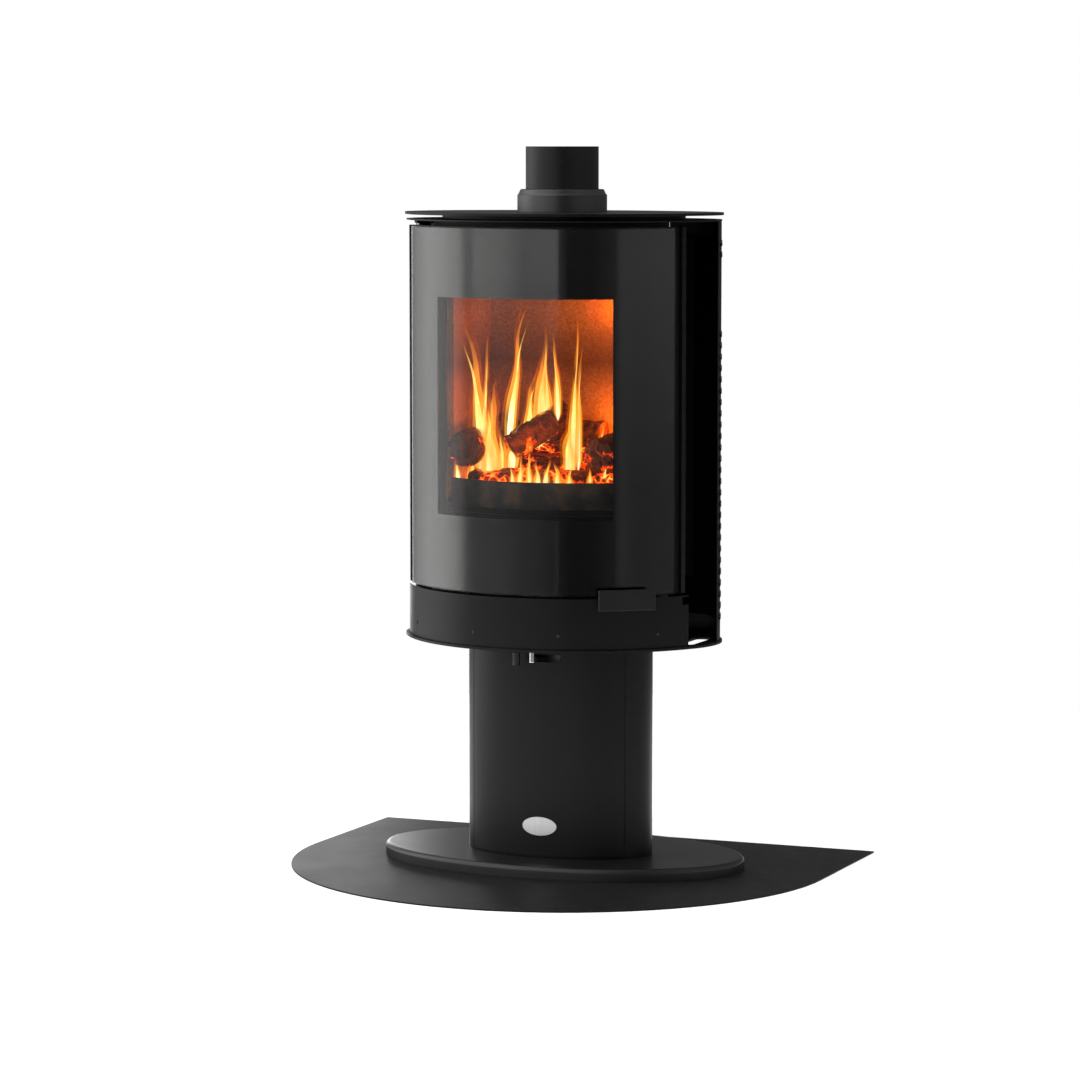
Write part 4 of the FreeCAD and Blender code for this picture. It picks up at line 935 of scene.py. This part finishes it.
# %% Foot
foot_a, foot_b, foot_y = 364.0, 215.0, 6.0
foot_z0, foot_z1, foot_round = 3.0, 28.0, 9.0
foot_section = [(200.0, foot_z1 - 10), (22.0, foot_z1 - 10), (22.0, foot_z0), (0.5, foot_z0),
                (0.0, foot_z0 + 0.5)]
for step in range(11):
    turn = math.radians(9 * step)
    foot_section.append((foot_round * (1 - math.cos(turn)), foot_z1 - foot_round * (1 - math.sin(turn))))
foot_section += [(inset, foot_z1) for inset in (11.0, 30.0, 60.0, 100.0, 150.0, 200.0)]
bm = bmesh.new()
rings = []
for inset, height in foot_section:
    ring = bmesh.ops.create_circle(bm, cap_ends=False, segments=160, radius=1.0)["verts"]
    bmesh.ops.scale(bm, verts=ring, vec=((foot_a - inset) * MM, (foot_b - inset) * MM, 1.0))
    bmesh.ops.translate(bm, verts=ring, vec=(0.0, foot_y * MM, height * MM))
    rings.append(ring)
for below, above in zip(rings, rings[1:]):
    for i in range(len(below)):
        j = (i + 1) % len(below)
        bm.faces.new((below[i], below[j], above[j], above[i]))
bm.faces.new(rings[0])
bm.faces.new(rings[-1])
bmesh.ops.recalc_face_normals(bm, faces=bm.faces)
as_piece("foot_plate", bm, "stove", "foot_casting", ("base_plate",))

# %% [markdown]
# ## Logs
# Real logs aren't round: each has flats, a bend, bark ridges and ends cut or burned at a slant. A cone
# with many rings is laid along each log, and its vertices are pushed in and out by layered noise. The
# ends are a separate material index, because a burned end glows deeper red than the bark.

# %% Logs
fire_floor = 700.0
# Radius, then the two ends, in mm above the fire floor.
logs = (
    (42, (-165, 38, 43), (165, 38, 43)),
    (35, (-150, -95, 36), (145, -95, 36)),
    (36, (-147, -132, 106), (-147, 80, 128)),
    (30, (125, -130, 102), (113, 78, 117)),
    (34, (-100, 52, 122), (72, 52, 122)),
    (27, (-85, -60, 102), (5, 18, 174)),
)
log_rings, log_sides = 44, 56


def one_log(bm, radius, start, end, seed):
    """A charred log between two points."""
    lift = Vector((0.0, 0.0, fire_floor))
    a, b = Vector(start) + lift, Vector(end) + lift
    length = (b - a).length
    turn_to = (b - a).to_track_quat("Z", "Y").to_matrix().to_4x4()
    part = bmesh.new()
    bmesh.ops.create_cone(part, cap_ends=True, segments=log_sides, radius1=radius, radius2=radius * 0.94,
                          depth=length)
    sides = [e for e in part.edges if abs(e.verts[0].co.z - e.verts[1].co.z) > length * 0.5]
    bmesh.ops.subdivide_edges(part, edges=sides, cuts=log_rings, use_grid_fill=False)
    caps = [f for f in part.faces if len(f.verts) > 8]
    for _ in range(4):
        bmesh.ops.inset_individual(part, faces=caps, thickness=radius * 0.2, depth=0.0)
    shift = Vector((seed * 31.7, seed * 11.3, seed * 5.1))
    for face in part.faces:
        face.material_index = 1 if abs(face.normal.z) > 0.7 else 0
    for vertex in part.verts:
        p = vertex.co
        around = Vector((p.x, p.y, 0.0))
        reach = around.length
        ridge = noise.noise(Vector((p.x * 0.09, p.y * 0.09, p.z * 0.012)) + shift)
        lump = noise.noise(p * 0.028 + shift)
        crack = abs(noise.noise(Vector((p.x * 0.05, p.y * 0.05, p.z * 0.055)) + shift * 2))
        change = 1.0 + 0.10 * ridge + 0.12 * lump - 0.14 * max(0.0, 0.22 - crack) / 0.22
        change = min(change, 1.0)
        if reach > 1e-6:
            p.x *= change
            p.y *= change
        tilt = (0.10 + 0.1 * (seed % 3)) * p.x + 2.5 * noise.noise(p * 0.11 + shift)
        end_share = max(0.0, abs(p.z) / (length / 2) - 0.8) / 0.2
        p.z -= math.copysign(abs(tilt) * end_share, p.z)
    bmesh.ops.transform(part, matrix=turn_to, verts=part.verts)
    bmesh.ops.translate(part, vec=(a + b) / 2, verts=part.verts)
    bmesh.ops.scale(part, vec=(MM, MM, MM), verts=part.verts)
    merge(bm, part)


bm = bmesh.new()
for number, (radius, start, end) in enumerate(logs):
    one_log(bm, radius, start, end, number + 1)
wood = as_piece("charred_logs", bm, "stove", "firewood", ("firewood",), crease=70.0)
wood.data.materials.append(finishes["log_end"])

# %% [markdown]
# ## Bed of embers
# Glowing lumps lie between and under the logs. Each lump is a small icosphere with its vertices pushed
# about by noise, a few dozen faces each, scattered over the fire floor with a fixed seed.

# %% Embers
def lump(bm, place, size, seed):
    """One ember, a rough angular lump."""
    made = bmesh.ops.create_icosphere(bm, subdivisions=2, radius=size * MM)
    for vertex in made["verts"]:
        rough = noise.noise(vertex.co * (420.0 / size) + Vector((seed, seed * 0.7, 0.0)))
        vertex.co *= 1.0 + 0.45 * rough
        vertex.co.z *= 0.72
    bmesh.ops.translate(bm, verts=made["verts"], vec=Vector(place) * MM)


bm = bmesh.new()
random.seed(11)
for number in range(190):
    x = random.uniform(-168, 168)
    y = random.uniform(-150, 60)
    size = random.uniform(7, 15)
    if math.hypot(x, y - 92) > 256:
        continue
    pile = 12 * math.exp(-((x - 20) / 110) ** 2)
    lump(bm, (x, y, fire_floor + size * 0.55 + random.uniform(0, 1) * pile), size, number)
as_piece("ember_bed", bm, "stove", "ember_bed", crease=60.0)

# %% [markdown]
# ## Flames
# Each tongue starts as a sphere. Its vertices are pulled up into a tapering, swaying spindle, so it
# stays a closed form. Three sizes of the same tongue nest in each other, from a wide faint orange skin
# to a thin bright core, which gives the soft edge of a real flame.

# %% One tongue
def tongue(bm, foot, height, width, sway, seed):
    """A closed flame shape that stands on foot, in mm; 'up' is stored on its vertices."""
    layer = bm.verts.layers.float.get("up") or bm.verts.layers.float.new("up")
    made = bmesh.ops.create_uvsphere(bm, u_segments=14, v_segments=26, radius=1.0)
    base = Vector(foot)
    for vertex in made["verts"]:
        up = (vertex.co.z + 1.0) / 2.0
        swell = 0.55 + 0.45 * math.sin(math.pi * min(1.0, up * 1.6))
        girth = width * swell * (1.0 - up) ** 0.75 * min(1.0, up * 9 + 0.25)
        flicker = noise.noise(Vector((seed * 3.1, up * 3.2, 0.0)))
        side = sway * up * up + flicker * width * 0.9 * up
        deep = noise.noise(Vector((seed * 5.7, up * 2.6, 4.0))) * width * 0.8 * up
        flat = Vector((vertex.co.x, vertex.co.y, 0.0))
        flat = flat.normalized() if flat.length > 1e-6 else Vector((0, 0, 0))
        around = Vector((flat.x, flat.y * 0.6, 0.0)) * girth
        vertex.co = (base + Vector((side, deep, height * up)) + around) * MM
        vertex[layer] = up


# Foot of each tongue, its height, its half-width and how far its tip sways to the side, in mm.
tongues = (
    ((-122, -95, 742), 312, 25, -44), ((-127, -85, 745), 280, 15, 9), ((-94, -100, 735), 165, 22, -28),
    ((-112, -92, 735), 205, 24, 2), ((-100, -20, 790), 294, 16, 38), ((-62, -24, 800), 150, 20, 16),
    ((-40, -10, 805), 238, 24, 14), ((-26, -6, 815), 205, 15, -6), ((4, -30, 856), 170, 10, -12),
    ((42, -50, 750), 326, 13, 12), ((36, -55, 745), 150, 17, 6), ((50, -40, 760), 250, 9, 4),
    ((106, -80, 785), 84, 9, 15), ((-29, -140, 738), 64, 9, 4), ((-8, -142, 736), 78, 8, -3),
    ((23, -138, 736), 60, 12, 6), ((46, -136, 738), 52, 10, -4), ((-44, -138, 736), 50, 9, -5),
    ((-168, -112, 738), 60, 10, -4), ((-80, -60, 760), 110, 20, 18), ((134, -118, 738), 64, 9, 5),
    ((108, -122, 736), 44, 10, -3), ((67, -128, 736), 46, 9, 3), ((-104, -104, 735), 178, 27, -8),
    ((-88, -96, 735), 118, 22, 4), ((-140, -110, 738), 62, 13, 6), ((8, -136, 736), 56, 13, -5),
)
layers = (("flame_outer", 1.35, 1.06), ("flame_middle", 0.92, 1.0), ("flame_core", 0.48, 0.86))
for layer_name, wide, tall in layers:
    bm = bmesh.new()
    for number, (foot, height, width, sway) in enumerate(tongues):
        tongue(bm, foot, height * tall, width * wide, sway, number + 1)
    flame = as_piece(layer_name + "_tongues", bm, "stove", layer_name, crease=180.0)
    flame.visible_shadow = False
    flame.visible_diffuse = False

# %% [markdown]
# ### Light of the fire
# The flames themselves are too thin to light the box cleanly, so small warm lamps stand in the fire:
# one low at the embers, two at the height of the flames.

# %% Fire light
def glow(name, place, power, size, colour):
    data = bpy.data.lights.new(name, "POINT")
    data.energy = power
    data.shadow_soft_size = size
    data.color = colour
    made = bpy.data.objects.new(name, data)
    made.location = place
    made.visible_camera = False
    made.visible_glossy = False
    made.visible_transmission = False
    bpy.context.scene.collection.objects.link(made)


fire_colour = (1.0, 0.21, 0.006)
glow("ember_light", (0.00, -0.13, 0.83), 0.85, 0.03, fire_colour)
glow("flame_light_left", (-0.12, -0.12, 0.93), 0.26, 0.03, fire_colour)
glow("flame_light_right", (0.09, 0.05, 1.07), 0.62, 0.03, fire_colour)
glow("log_light", (0.10, 0.03, 0.85), 1.1, 0.03, fire_colour)
